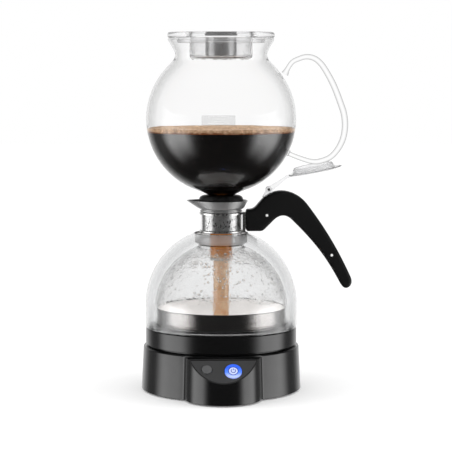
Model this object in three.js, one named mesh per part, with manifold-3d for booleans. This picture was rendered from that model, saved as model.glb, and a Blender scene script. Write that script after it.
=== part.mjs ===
// Electric vacuum (siphon) coffee brewer: a power base, a double-walled carafe with a heated steel
// pot, and a glass funnel with its lid and filter. Millimetres, +Z up, the vessel axis on Z, the
// control panel facing -Y, the handles on +X and the pouring spout on -X. Heights are drawn from a
// datum just above the table, and every finished solid is raised so that the table is z = 0.
import * as THREE from "three";
import { mergeVertices } from "three/addons/utils/BufferGeometryUtils.js";
import Module from "manifold-3d";

const wasm = await Module();
wasm.setup();

// ---------------------------------------------------------------- driving dimensions
const TABLE = -2.4; // height of the table on the drawing's datum
const GAP = 0.3; // clearance between separate pieces that meet
const SEAM = 0.1; // gap left where two parts of one moulding or blown glass are fused

const ROUND = 30; // sides of the large turned pieces
const SMALL_ROUND = 16; // sides of the small turned pieces

const BASE = {
  bottom: TABLE + 1.5, // height of the wall's lower edge
  top: 47, // height of the rim
  radius: 88.8, // outer radius at the lower edge
  taper: 0.973, // plan scale of the rim against the lower edge
  wall: 2.6,
  noseRadius: 42.4, // the round tongue that carries the control panel
  noseCentre: -70.9,
  wellRadius: 82,
  wellFloor: 34,
  floorThickness: 2.5,
  panelShell: 4.4, // depth of the hollow under the panel's plane
};
const COVER = { bottom: TABLE + 1.6, top: TABLE + 4, hubRadius: 28, hubBottom: TABLE + 0.8 };
const FOOT = { radius: 7, height: 2.4, circle: 72, angles: [20, 115, 245, 340] };
const SCREW = { circle: 66, angles: [45, 135, 225, 315], head: 3.2, shank: 1.35, top: TABLE + 14 };
const GLAND = { z: TABLE + 14, radius: 4.8, lip: 6.4, bore: 3.5 };
const PANEL = {
  tilt: Math.atan(0.919), // slope of the control panel below the horizontal
  topY: -87.1, // the panel's straight upper edge, below the rim
  topZ: 44.9,
  thickness: 1.6,
};
const POWER_BUTTON = { x: 10, y: -99.2, radius: 9.1, capRadius: 4.7 };
const WARM_BUTTON = { x: -18, y: -97.4, radius: 5.5 };
const BUTTON_PROUD = 1.1;
const BUTTON_HEIGHT = 4.6;
const BOARD_DEPTH = -11.6; // the switch board's middle under the panel plane

const CONNECTOR = { flange: 20, radius: 15.8, post: 10.5, top: 45.5 };
const RING = { radius: 83.9, bottom: 49.2, top: 68, plugRadius: 80.5, plugBottom: 36.2 };
const POT = { radius: 71.5, bottom: 60, top: 89.4, wall: 0.9, floor: 1.2 };
const INNER = { radius: 73.6, centre: 88.2, wall: 1.6, foot: 68.3 };
const OUTER = { radius: 84.2, centre: 93.3, wall: 1.8, foot: 68.3 };
const NECK = { radius: 22.9, shoulder: 25.4, shoulderTop: 159.5, top: 196, ringRadius: 29.3, ringTop: 171.3 };
const COLLAR = {
  lipRadius: 29.6,
  lipZ: 207.9,
  throatZ: 199.5,
  sleeve: 21,
  sleeveBottom: 173,
  sheet: 0.8,
  spout: 8.6, // how far the lip is drawn out
};
const STRAP = { low: 173, high: 193, bandHeight: 2.2, sheet: 0.9, tongueZ: 191.5 };

const BOWL = { radius: 82.7, centre: 298.1, wall: 2, rimTop: 386.8 };
const TUBE = { radius: 12.3, bottom: 144.2, top: 210 };
const STEM = { radius: 8.6, bore: 7.2, bottom: 74, top: 158 };
const FILTER = { plate: 26.4, top: 226.4, springRadius: 5, springBottom: 182, springTop: 217.6, wire: 0.7 };
const LID = { radius: 58.8, bottom: 387.2, top: 393.4, cupRadius: 34.6, cupBottom: 364.6 };
const KNOB = { radius: 17.4, wall: 1.2, bottom: 366.6, top: 389, capRadius: 17.9, capHeight: 1.6 };

const HINGE = { x: 52.8, z: 220.2, pin: 1.5 }; // the flip lid's pin, along Y
const OPEN_ANGLE = 169.2; // degrees, closed to fully open
const HANDLE_HALF = 9.5; // half the carafe handle's thickness

// ---------------------------------------------------------------- solids from three.js geometry
// A closed three.js geometry as a manifold solid, turned right side out if it ran the other way.
function solid(geometry) {
  const flat = geometry.index ? geometry.toNonIndexed() : geometry.clone();
  for (const name of Object.keys(flat.attributes)) {
    if (name !== "position") flat.deleteAttribute(name);
  }
  const merged = mergeVertices(flat, 1e-4);
  const corners = merged.index.array;
  const kept = [];
  for (let i = 0; i < corners.length; i += 3) {
    const [a, b, c] = [corners[i], corners[i + 1], corners[i + 2]];
    if (a !== b && b !== c && a !== c) kept.push(a, b, c);
  }
  const build = (list) =>
    new wasm.Manifold(
      new wasm.Mesh({
        numProp: 3,
        vertProperties: new Float32Array(merged.attributes.position.array),
        triVerts: new Uint32Array(list),
      }),
    );
  const made = build(kept);
  return made.volume() > 0 ? made : build(kept.reverse());
}

function geometryOf(manifold) {
  const mesh = manifold.getMesh();
  const count = mesh.numVert;
  const position = new Float32Array(count * 3);
  for (let i = 0; i < count; i++) {
    for (let k = 0; k < 3; k++) position[3 * i + k] = mesh.vertProperties[i * mesh.numProp + k];
  }
  const geometry = new THREE.BufferGeometry();
  geometry.setAttribute("position", new THREE.BufferAttribute(position, 3));
  geometry.setIndex(new THREE.BufferAttribute(new Uint32Array(mesh.triVerts), 1));
  const faceted = geometry.toNonIndexed();
  faceted.computeVertexNormals();
  return faceted;
}

// Revolves [radius, height] points about Z. A profile off the axis is closed on itself.
function turned(profile, sides = ROUND, reshape = null) {
  const points = profile.map(([r, z]) => new THREE.Vector2(r, z));
  const onAxis = profile[0][0] === 0 && profile[profile.length - 1][0] === 0;
  if (!onAxis) points.push(points[0].clone());
  const geometry = new THREE.LatheGeometry(points, sides);
  geometry.rotateX(Math.PI / 2);
  if (reshape) {
    const p = geometry.attributes.position;
    for (let i = 0; i < p.count; i++) {
      const [x, y, z] = reshape(p.getX(i), p.getY(i), p.getZ(i));
      p.setXYZ(i, x, y, z);
    }
  }
  return solid(geometry);
}

const disc = (radius, z0, z1, sides = SMALL_ROUND) =>
  turned([[0, z0], [radius, z0], [radius, z1], [0, z1]], sides);

const tube = (inner, outer, z0, z1, sides = SMALL_ROUND) =>
  turned([[inner, z0], [outer, z0], [outer, z1], [inner, z1]], sides);

function block(sx, sy, sz, x, y, z) {
  const geometry = new THREE.BoxGeometry(sx, sy, sz);
  geometry.translate(x, y, z);
  return solid(geometry);
}

// A solid bar along Y between two heights of y.
function crossPin(radius, x, z, y0, y1, sides = 16) {
  const geometry = new THREE.CylinderGeometry(radius, radius, y1 - y0, sides);
  geometry.translate(x, (y0 + y1) / 2, z);
  return solid(geometry);
}

// An outline in plan, drawn up from z0 to z1, with its upper end scaled about the axis.
function prism(shape, z0, z1, taper = 1, curveSegments = 15) {
  const depth = z1 - z0;
  const geometry = new THREE.ExtrudeGeometry(shape, { depth, bevelEnabled: false, curveSegments });
  const p = geometry.attributes.position;
  for (let i = 0; i < p.count; i++) {
    const share = p.getZ(i) / depth;
    const scale = 1 + (taper - 1) * share;
    p.setXYZ(i, p.getX(i) * scale, p.getY(i) * scale, p.getZ(i) + z0);
  }
  return solid(geometry);
}

// An outline in the XZ plane, given a thickness along Y.
function plate(shape, y0, y1, options = {}) {
  const geometry = new THREE.ExtrudeGeometry(shape, {
    depth: y1 - y0,
    bevelEnabled: false,
    curveSegments: 10,
    ...options,
  });
  geometry.rotateX(Math.PI / 2);
  geometry.translate(0, y1, 0);
  return solid(geometry);
}

// Points of a circular arc as [radius, height], between two angles in degrees from the horizontal.
function arc(radius, centreZ, from, to, steps) {
  const points = [];
  for (let i = 0; i <= steps; i++) {
    const a = THREE.MathUtils.degToRad(from + ((to - from) * i) / steps);
    points.push([radius * Math.cos(a), centreZ + radius * Math.sin(a)]);
  }
  return points;
}

// ---------------------------------------------------------------- materials and the list of solids
const look = (color, roughness, more = {}) => new THREE.MeshStandardMaterial({ color, roughness, ...more });
const material = {
  blackPlastic: look(0x1c1c1d, 0.38),
  panelGrey: look(0x4b4b4c, 0.55),
  clearPlastic: look(0xf4f6f7, 0.05, { transparent: true, opacity: 0.25 }),
  glass: look(0xf6f8f8, 0.02, { transparent: true, opacity: 0.2 }),
  steel: look(0xb9b7b4, 0.25, { metalness: 1 }),
  silicone: look(0x161616, 0.7),
  paleSilicone: look(0xdedddb, 0.6),
  brass: look(0xc29a4b, 0.35, { metalness: 1 }),
  board: look(0x1f5a3a, 0.6),
  blueLight: look(0x2f6bf0, 0.3, { emissive: 0x1440c0 }),
  whiteCap: look(0xe8ecf6, 0.35),
};
const root = new THREE.Group();

function add(name, manifold, material) {
  const mesh = new THREE.Mesh(geometryOf(manifold.translate([0, 0, -TABLE])), material);
  mesh.name = name;
  root.add(mesh);
}

const rad = THREE.MathUtils.degToRad;
const deg = THREE.MathUtils.radToDeg;

// ---------------------------------------------------------------- power base
// Plan of the base: a circle with a round tongue at the front and small fillets between the two.
function basePlan(grow) {
  const R = BASE.radius + grow;
  const r = BASE.noseRadius + grow;
  const c = BASE.noseCentre;
  const meetY = (r * r - R * R - c * c) / (-2 * c); // height of the two circles' common chord
  const leave = Math.acos(Math.abs(meetY) / R) + 0.03; // the fillet starts just beyond the chord
  const noseAngle = rad(-20); // and ends here on the tongue
  const shape = new THREE.Shape();
  shape.absarc(0, 0, R, -Math.PI / 2 + leave, (3 * Math.PI) / 2 - leave, false);
  const cornerX = -Math.sqrt(R * R - meetY * meetY);
  const start = new THREE.Vector2(r * Math.cos(Math.PI - noseAngle), c + r * Math.sin(Math.PI - noseAngle));
  shape.quadraticCurveTo(cornerX, -Math.abs(meetY), start.x, c - Math.abs(start.y - c));
  shape.absarc(0, c, r, Math.PI - noseAngle, 2 * Math.PI + noseAngle, false);
  shape.quadraticCurveTo(-cornerX, -Math.abs(meetY), R * Math.sin(leave), -R * Math.cos(leave));
  return shape;
}

// Turns a solid built on the horizontal plane z = 0 into the panel's plane, at a point given in plan.
function onPanel(manifold, x, y) {
  const z = PANEL.topZ - (PANEL.topY - y) * Math.tan(PANEL.tilt);
  return manifold.rotate([deg(PANEL.tilt), 0, 0]).translate([x, y, z]);
}

// All that lies above the panel plane, and above the shelf between panel and rim, outside a radius.
function abovePanel(offset, keepRadius) {
  const slope = onPanel(block(140, 140, 80, 0, 0, 40 + offset), 0, PANEL.topY);
  const shelf = block(140, 160, 60, 0, -80, PANEL.topZ + offset + 30);
  return slope.add(shelf).subtract(disc(keepRadius, -10, 120, ROUND));
}

// A layer of the tongue parallel to the panel, inset from its outline and from its upper edge.
function panelLayer(inset, low, high) {
  const behind = block(140, 120, 200, 0, PANEL.topY + 60 + GAP - inset, 50);
  return onPanel(block(140, 140, high - low, 0, 0, (low + high) / 2), 0, PANEL.topY)
    .intersect(prism(basePlan(-inset), 5, BASE.top + 10, BASE.taper))
    .subtract(behind);
}

function around({ circle, angles }) {
  return angles.map((angle) => [circle * Math.cos(rad(angle)), circle * Math.sin(rad(angle))]);
}

// A solid of revolution along Y, from the rear wall of the base.
function rearRod(radius, length, y) {
  const geometry = new THREE.CylinderGeometry(radius, radius, length, 16);
  geometry.translate(0, y, GLAND.z);
  return solid(geometry);
}

const rimRadius = BASE.radius * BASE.taper;
const cavityTop = BASE.wellFloor - BASE.floorThickness;
const hollow = abovePanel(-BASE.panelShell, 60);
const cavity = prism(basePlan(-BASE.wall), BASE.bottom - 5, cavityTop, BASE.taper).subtract(hollow);
const tongueRoom = prism(basePlan(-BASE.wall), BASE.bottom + 8, BASE.top - 3, BASE.taper)
  .subtract(disc(BASE.wellRadius + 3, 0, 60, ROUND))
  .subtract(hollow);
let housing = prism(basePlan(0), BASE.bottom, BASE.top, BASE.taper)
  .subtract(abovePanel(0, rimRadius + GAP))
  .subtract(cavity)
  .subtract(tongueRoom)
  .subtract(disc(BASE.wellRadius, BASE.wellFloor, BASE.top + 5, ROUND))
  .subtract(disc(CONNECTOR.radius + 0.6, cavityTop - 2, BASE.wellFloor + 2))
  .subtract(panelLayer(1.1, -PANEL.thickness - 0.5, 5))
  .subtract(rearRod(GLAND.radius + GAP, 20, BASE.radius));
for (const b of [POWER_BUTTON, WARM_BUTTON]) {
  housing = housing.subtract(onPanel(disc(b.radius + 0.5, -9, 6), b.x, b.y));
}
for (const [x, y] of around(SCREW)) {
  const boss = tube(SCREW.shank + GAP, 4, COVER.top + 0.4, cavityTop + 0.5, 12);
  housing = housing.add(boss.translate([x, y, 0]));
}
add("base_housing", housing, material.blackPlastic);

// The underside: a cover with a central cord-storage hub, let into the wall.
let cover = prism(basePlan(-BASE.wall - 1), COVER.bottom, COVER.top, 1);
cover = cover.add(disc(COVER.hubRadius, COVER.hubBottom, COVER.top - 0.1, 32));
for (const [x, y] of around(SCREW)) {
  const counterbore = disc(SCREW.head + 0.4, TABLE, TABLE + 2.9, 12);
  const through = disc(SCREW.shank + GAP, TABLE, TABLE + 6, 12);
  cover = cover.subtract(counterbore.add(through).translate([x, y, 0]));
}
for (const [x, y] of around(FOOT)) {
  cover = cover.subtract(disc(FOOT.radius + GAP, TABLE, TABLE + FOOT.height + GAP).translate([x, y, 0]));
}
add("base_cover", cover, material.blackPlastic);
around(FOOT).forEach(([x, y], i) => {
  const foot = disc(FOOT.radius, TABLE, TABLE + FOOT.height).translate([x, y, 0]);
  add(`base_foot_${i + 1}`, foot, material.silicone);
});
around(SCREW).forEach(([x, y], i) => {
  const head = disc(SCREW.head, TABLE + 1.7, TABLE + 2.8, 12);
  const screw = head.add(disc(SCREW.shank, TABLE + 2.7, SCREW.top, 12)).translate([x, y, 0]);
  add(`base_screw_${i + 1}`, screw, material.steel);
});
const gland = rearRod(GLAND.radius, 5.4, BASE.radius - 1)
  .add(rearRod(GLAND.lip, 1.5, BASE.radius + 1))
  .subtract(rearRod(GLAND.bore, 20, BASE.radius));
add("cord_gland", gland, material.silicone);

// Control panel, its two push buttons, and the board with their switches behind it.
let panel = panelLayer(1.1 + GAP, -PANEL.thickness - 0.2, -0.2);
for (const b of [POWER_BUTTON, WARM_BUTTON]) {
  panel = panel.subtract(onPanel(disc(b.radius + 0.4, -5, 5, 28), b.x, b.y));
}
add("control_panel", panel, material.panelGrey);
const buttonBase = BUTTON_PROUD - BUTTON_HEIGHT;
const ringBody = tube(POWER_BUTTON.capRadius + 0.35, POWER_BUTTON.radius, buttonBase, BUTTON_PROUD, 28);
add("power_button_ring", onPanel(ringBody, POWER_BUTTON.x, POWER_BUTTON.y), material.blueLight);
add(
  "power_button_cap",
  onPanel(disc(POWER_BUTTON.capRadius, buttonBase, BUTTON_PROUD + 0.1, 28), POWER_BUTTON.x, POWER_BUTTON.y),
  material.whiteCap,
);
add(
  "warm_button",
  onPanel(disc(WARM_BUTTON.radius, buttonBase, BUTTON_PROUD - 0.3, 24), WARM_BUTTON.x, WARM_BUTTON.y),
  material.panelGrey,
);
const panelBoard = onPanel(block(50, 15, 1.4, 0, 0, BOARD_DEPTH), -4, -98.4);
add("panel_board", panelBoard, material.board);
for (const [name, b] of [["power_switch", POWER_BUTTON], ["warm_switch", WARM_BUTTON]]) {
  const plunger = disc(1.6, BOARD_DEPTH + 3.4, buttonBase - 2.1, 12);
  const body = block(6, 6, 3.2, 0, 0, BOARD_DEPTH + 2.6).add(plunger);
  add(name, onPanel(body, b.x, b.y), material.silicone);
}

// Mains board and the cordless connector that the carafe drops onto.
add("power_board", block(74, 46, 1.6, 0, 26, 9), material.board);
add("power_relay", block(19, 15, 14, 22, 30, 9.8 + GAP + 7), material.blackPlastic);
const postProfile = [
  [0, 22],
  [CONNECTOR.flange, 22],
  [CONNECTOR.flange, 31.2],
  [CONNECTOR.radius, 31.2],
  [CONNECTOR.radius, 36.5],
  [CONNECTOR.post, 36.5],
  [CONNECTOR.post, CONNECTOR.top - 1],
  [CONNECTOR.post - 1, CONNECTOR.top],
  [0, CONNECTOR.top],
];
const post = turned(postProfile, 20).subtract(tube(4.2, 6.2, 37.5, 50)).subtract(disc(2, 30, 50));
add("base_connector", post, material.blackPlastic);
add("connector_pin", disc(1.6, 30.4, 46.6, 12), material.brass);
add("connector_ring", tube(4.5, 5.9, 37.9, 45.1), material.brass);

// ---------------------------------------------------------------- carafe, lower half
const footRing = turned([
  [78, RING.plugBottom],
  [RING.plugRadius, RING.plugBottom],
  [RING.plugRadius, RING.bottom],
  [RING.radius, RING.bottom],
  [RING.radius, RING.top],
  [74.4, RING.top],
  [74.4, 65.5],
  [78, 63],
]);
add("carafe_ring", footRing, material.blackPlastic);
const underplate = tube(17.2, 77.6, 36.6, 38.8, ROUND);
add("carafe_underplate", underplate, material.blackPlastic);
const socketProfile = [
  [0, 53],
  [19.5, 53],
  [19.5, 50],
  [CONNECTOR.radius + 1, 50],
  [CONNECTOR.radius + 1, 37],
  [CONNECTOR.post + 1.1, 37],
  [CONNECTOR.post + 1.1, CONNECTOR.top + 0.5],
  [0, CONNECTOR.top + 0.5],
];
const socket = turned(socketProfile, 20).subtract(disc(2.4, 46, 51.5, 12));
add("carafe_socket", socket, material.blackPlastic);
add("socket_contact", disc(2.1, 46.9, 51.2, 12), material.brass);
const elementBar = new THREE.ExtrudeGeometry(new THREE.Shape().absarc(0, 0, 3.4, 0, 2 * Math.PI), {
  extrudePath: new THREE.CatmullRomCurve3(
    Array.from({ length: 25 }, (_, i) => {
      const a = rad(110 + (320 * i) / 24);
      return new THREE.Vector3(44 * Math.cos(a), 44 * Math.sin(a), 54.2);
    }),
  ),
  steps: 24,
  curveSegments: 4,
  bevelEnabled: false,
});
add("heating_element", solid(elementBar), material.steel);
add("heat_spreader", disc(62, 58, POT.bottom - GAP, ROUND), material.steel);
add("thermostat", disc(9, 53.4, 57.7).translate([22, -4, 0]), material.steel);

add(
  "heater_pot",
  turned([
    [0, POT.bottom],
    [POT.radius - 2, POT.bottom],
    [POT.radius, POT.bottom + 2],
    [POT.radius, POT.top],
    [POT.radius - POT.wall, POT.top],
    [POT.radius - POT.wall, POT.bottom + POT.floor + 2],
    [POT.radius - POT.wall - 2, POT.bottom + POT.floor],
    [0, POT.bottom + POT.floor],
  ]),
  material.steel,
);
add("pot_seal", tube(POT.radius + 0.2, 74.1, 62.5, 68, ROUND), material.silicone);

// ---------------------------------------------------------------- carafe, clear vessels and neck
const innerR = INNER.radius - INNER.wall;
const innerNeck = NECK.shoulder - INNER.wall;
add(
  "inner_vessel",
  turned([
    [82, INNER.foot],
    [82, INNER.foot + 1.6],
    [76.6, INNER.foot + 2.6],
    [INNER.radius + 0.4, INNER.foot + 6],
    ...arc(INNER.radius, INNER.centre, 0, deg(Math.acos(NECK.shoulder / INNER.radius)), 8),
    ...arc(innerR, INNER.centre, deg(Math.acos(innerNeck / innerR)), 0, 8),
    [innerR + 0.3, INNER.foot + 5],
    [74.6, INNER.foot],
  ]),
  material.clearPlastic,
);
add(
  "vessel_neck",
  turned([
    [NECK.radius - INNER.wall, NECK.shoulderTop - INNER.wall],
    [NECK.shoulder, NECK.shoulderTop - INNER.wall],
    [NECK.shoulder, NECK.shoulderTop],
    [NECK.radius, NECK.shoulderTop],
    [NECK.radius, NECK.top],
    [NECK.radius - INNER.wall, NECK.top],
  ]),
  material.clearPlastic,
);
add(
  "neck_ring",
  turned([
    [NECK.radius + GAP, NECK.shoulderTop + GAP],
    [27.6, NECK.shoulderTop + GAP],
    [NECK.ringRadius - GAP, NECK.shoulderTop + 2.5],
    [NECK.ringRadius - GAP, NECK.ringTop],
    [NECK.radius + GAP, NECK.ringTop],
  ]),
  material.clearPlastic,
);
const outerIn = OUTER.radius - OUTER.wall;
const mouth = NECK.ringRadius + 0.2;
add(
  "outer_dome",
  turned([
    [OUTER.radius + 0.2, OUTER.foot],
    ...arc(OUTER.radius, OUTER.centre, 0, deg(Math.acos(mouth / OUTER.radius)), 8),
    ...arc(outerIn, OUTER.centre, deg(Math.acos(mouth / outerIn)), 0, 8),
    [outerIn + 0.2, OUTER.foot],
  ]),
  material.clearPlastic,
);

// The steel pouring collar: a sleeve in the neck, a groove, and a flared lip drawn out into a spout.
function drawSpout(x, y, z) {
  const rise = Math.max(0, (z - COLLAR.throatZ) / (COLLAR.lipZ - COLLAR.throatZ));
  const r = Math.hypot(x, y);
  if (rise <= 0 || r === 0) return [x, y, z];
  const fromSpout = Math.acos(Math.max(-1, Math.min(1, -x / r)));
  const pull = COLLAR.spout * rise * Math.exp(-((fromSpout / 0.42) ** 2));
  return [x * (1 + pull / r), y * (1 + pull / r), z + 0.03 * pull];
}
const collarOuter = [
  [COLLAR.sleeve, COLLAR.sleeveBottom],
  [COLLAR.sleeve, NECK.top + 0.2],
  [23.3, NECK.top + 0.25],
  [23.3, NECK.top + 1.2],
  [22, NECK.top + 1.8],
  [22.6, COLLAR.throatZ - 0.8],
  [25.2, COLLAR.throatZ + 0.4],
  [27.4, 203.6],
  [COLLAR.lipRadius, COLLAR.lipZ],
];
const collarInner = [
  [COLLAR.lipRadius - COLLAR.sheet, COLLAR.lipZ + 0.1],
  [26.4, 204],
  [24, COLLAR.throatZ + 1.2],
  [COLLAR.sleeve - COLLAR.sheet, NECK.top + 1.5],
  [COLLAR.sleeve - COLLAR.sheet, COLLAR.sleeveBottom],
];
add("spout_collar", turned([...collarOuter, ...collarInner], 36, drawSpout), material.steel);

// ---------------------------------------------------------------- carafe handle and flip lid
// Strap that grips the neck with two bands and carries the handle on its tongue.
const bandInner = NECK.radius + GAP;
const bandOuter = bandInner + STRAP.sheet;
let strap = tube(bandInner, bandOuter, STRAP.low, STRAP.low + STRAP.bandHeight, ROUND);
strap = strap.add(tube(bandInner, bandOuter, STRAP.high, STRAP.high + STRAP.bandHeight, ROUND));
strap = strap.add(block(3.4, 9, 22.2, 25.3, 0, 184.1));
strap = strap.subtract(disc(bandInner, 160, 200, ROUND));
strap = strap.add(block(30, 3, 9, 41, 0, STRAP.tongueZ));
strap = strap.subtract(crossPin(1.8, 50.4, 192, -10, 10));
add("handle_strap", strap, material.steel);

// Side outline of the handle: a hooked grip that rises from the neck and sweeps down to its tip.
function handleOutline() {
  const s = new THREE.Shape();
  s.moveTo(27.4, 195);
  s.lineTo(30, 198.2);
  s.bezierCurveTo(35, 198.4, 37, 199.4, 41.3, 204.9);
  s.lineTo(47.1, 211.4);
  s.bezierCurveTo(54, 216.5, 60, 218.9, 68, 218.8);
  s.bezierCurveTo(78.5, 218.3, 88.5, 212.5, 94.5, 205.2);
  s.bezierCurveTo(112, 182.5, 128.5, 157, 143.9, 123.2);
  s.bezierCurveTo(146.5, 117.5, 145, 112.5, 140.6, 110.7);
  s.bezierCurveTo(137.4, 109.6, 134.9, 111.5, 133, 115);
  s.bezierCurveTo(119, 141.5, 105.5, 160.5, 77.5, 187.6);
  s.bezierCurveTo(71, 193.2, 64.5, 192.8, 57.6, 186);
  s.lineTo(50, 178.3);
  s.quadraticCurveTo(46, 174.5, 42.5, 174.2);
  s.lineTo(30.5, 174.2);
  s.quadraticCurveTo(27.4, 174.4, 27.4, 177.8);
  s.closePath();
  return s;
}
const HANDLE_PINS = [[50.4, 192], [122.5, 147.5]];
const bevel = 2.4;
let grip = plate(handleOutline(), -HANDLE_HALF + bevel, HANDLE_HALF - bevel, {
  bevelEnabled: true,
  bevelThickness: bevel,
  bevelSize: bevel,
  bevelOffset: -bevel,
  bevelSegments: 2,
  curveSegments: 5,
});
grip = grip.subtract(block(32, 3.6, 9.8, 41.5, 0, STRAP.tongueZ)); // slot for the strap's tongue
grip = grip.subtract(block(11.6, 11.6, 12, 51.2, 0, 212.5)); // seat for the hinge bracket
for (const [x, z] of HANDLE_PINS) grip = grip.subtract(crossPin(1.8, x, z, -12, 12));
const half = block(300, 40, 300, 60, 20 + 0.1, 160);
add("handle_shell_rear", grip.intersect(half), material.blackPlastic);
add("handle_shell_front", grip.intersect(half.translate([0, -40.2, 0])), material.blackPlastic);
HANDLE_PINS.forEach(([x, z], i) =>
  add(`handle_pin_${i + 1}`, crossPin(1.5, x, z, -HANDLE_HALF - 0.2, HANDLE_HALF + 0.2), material.steel),
);

// Hinge bracket: two ears on a foot let into the handle's top.
let bracket = block(10.8, 11, 6, 51.2, 0, 210);
for (const side of [-1, 1]) {
  const ear = new THREE.Shape();
  ear.moveTo(46, 212.8);
  ear.lineTo(56.4, 212.8);
  ear.lineTo(HINGE.x + 3.6, HINGE.z - 0.5);
  ear.absarc(HINGE.x, HINGE.z, 3.6, -0.1, Math.PI + 0.3, false);
  ear.closePath();
  const inner = side < 0 ? -5.5 : 3.3;
  bracket = bracket.add(plate(ear, inner, inner + 2.2));
}
bracket = bracket.subtract(crossPin(HINGE.pin + 0.3, HINGE.x, HINGE.z, -8, 8));
add("lid_bracket", bracket, material.clearPlastic);
add("lid_hinge_pin", crossPin(HINGE.pin, HINGE.x, HINGE.z, -5.8, 5.8), material.steel);

// Flip lid, drawn closed on the collar and then swung open about its pin.
const lidLow = COLLAR.lipZ + 0.7;
const lidShape = new THREE.Shape();
lidShape.absarc(0, 0, 28.4, rad(-158), rad(158), false);
lidShape.quadraticCurveTo(-31.5, 3, -31.5, 0);
lidShape.quadraticCurveTo(-31.5, -3, 28.4 * Math.cos(rad(158)), -28.4 * Math.sin(rad(158)));
let flipLid = prism(lidShape, lidLow, lidLow + 1.4, 1, 14);
const skirtDepth = (x) => 5.8 - (3.6 * x) / 50; // deeper at the spout side than at the hinge side
const skirt = turned(
  [[24.6, lidLow + 0.2], [21.6, lidLow - 6], [20.2, lidLow - 6], [23, lidLow + 0.2]],
  24,
  (x, y, z) => (z < lidLow - 3 ? [x, y, lidLow - skirtDepth(x)] : [x, y, z]),
);
flipLid = flipLid.add(skirt);
const arm = new THREE.Shape();
arm.moveTo(24, lidLow + 0.3);
arm.lineTo(31, lidLow + 0.3);
arm.quadraticCurveTo(40, 213, HINGE.x - 1.2, HINGE.z - 3.3);
arm.absarc(HINGE.x, HINGE.z, 3.5, rad(-110), rad(110), false);
arm.quadraticCurveTo(40, 217.5, 31, lidLow + 3.4);
arm.lineTo(24, lidLow + 2.4);
arm.closePath();
flipLid = flipLid.add(plate(arm, -3, 3));
flipLid = flipLid.subtract(crossPin(HINGE.pin + 0.3, HINGE.x, HINGE.z, -8, 8));
flipLid = flipLid
  .translate([-HINGE.x, 0, -HINGE.z])
  .rotate([0, OPEN_ANGLE, 0])
  .translate([HINGE.x, 0, HINGE.z]);
add("flip_lid", flipLid, material.clearPlastic);

// ---------------------------------------------------------------- glass funnel
const glass = BOWL.wall;
const sphereFrom = deg(-Math.acos(26 / BOWL.radius));
const sphereTo = deg(Math.acos(60.5 / BOWL.radius));
const sphereEnd = arc(BOWL.radius, BOWL.centre, sphereTo, sphereTo, 1)[0];
add(
  "funnel_bowl",
  turned([
    [TUBE.radius, TUBE.top + SEAM],
    [TUBE.radius, 211],
    [14.7, 214.6],
    [19.4, 217.2],
    ...arc(BOWL.radius, BOWL.centre, sphereFrom, sphereTo, 10),
    ...arc(BOWL.radius - glass, BOWL.centre, sphereTo, sphereFrom, 10),
    [18, 219.2],
    [12.8, 216.4],
    [TUBE.radius - glass, 212],
    [TUBE.radius - glass, TUBE.top + SEAM],
  ]),
  material.glass,
);
add("funnel_tube", tube(TUBE.radius - glass, TUBE.radius, TUBE.bottom, TUBE.top, ROUND), material.glass);
const neckStart = sphereEnd[1] + SEAM;
const neckCurve = [
  [54.6, 360.2],
  [51.9, 364.2],
  [50.8, 367.6],
  [50.8, 370.2],
  [54.5, 378.2],
  [57.4, 383.2],
  [58.6, BOWL.rimTop],
];
add(
  "funnel_rim",
  turned([
    [sphereEnd[0], neckStart],
    ...neckCurve,
    ...neckCurve.map(([r, z]) => [r - glass, z]).reverse(),
    [sphereEnd[0] - 1.5 * glass, neckStart],
  ]),
  material.glass,
);

// Glass rod handle in the XZ plane, thin at its roots and thicker down the back.
const rodLine = new THREE.CatmullRomCurve3(
  [
    [70.2, 347.6],
    [77.6, 359.8],
    [86.2, 364.6],
    [94.7, 366.6],
    [103.3, 364.6],
    [111, 358],
    [118.7, 346.1],
    [125.6, 332.4],
    [132.2, 315.3],
    [136, 303.4],
    [137.2, 289.8],
    [134.9, 276],
    [128.9, 264.1],
    [120.4, 255.5],
    [108.5, 251.2],
    [99.9, 251.2],
    [89.6, 254.1],
    [78.3, 258.4],
    [74.6, 260.2],
  ].map(([x, z]) => new THREE.Vector3(x, 0, z)),
  false,
  "centripetal",
);
function rodHandle() {
  const rings = 30;
  const sides = 8;
  const positions = [];
  const index = [];
  for (let i = 0; i <= rings; i++) {
    const t = i / rings;
    const centre = rodLine.getPointAt(t);
    const ahead = rodLine.getTangentAt(t);
    const across = new THREE.Vector3(ahead.z, 0, -ahead.x);
    const radius = 2.5 + 0.95 * Math.sin(Math.PI * Math.min(1, t * 1.05)) ** 1.5;
    for (let j = 0; j < sides; j++) {
      const a = (2 * Math.PI * j) / sides;
      positions.push(
        centre.x + across.x * radius * Math.cos(a),
        radius * Math.sin(a),
        centre.z + across.z * radius * Math.cos(a),
      );
      if (i < rings) {
        const next = (j + 1) % sides;
        const [p, q] = [i * sides + j, i * sides + next];
        index.push(p, q, q + sides, p, q + sides, p + sides);
      }
    }
  }
  for (let j = 1; j < sides - 1; j++) {
    index.push(0, j + 1, j);
    const end = rings * sides;
    index.push(end, end + j, end + j + 1);
  }
  const geometry = new THREE.BufferGeometry();
  geometry.setAttribute("position", new THREE.Float32BufferAttribute(positions, 3));
  geometry.setIndex(index);
  return solid(geometry);
}
const ball = new THREE.SphereGeometry(BOWL.radius + GAP, 64, 48);
ball.translate(0, 0, BOWL.centre);
add("funnel_handle", rodHandle().subtract(solid(ball)), material.glass);

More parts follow.
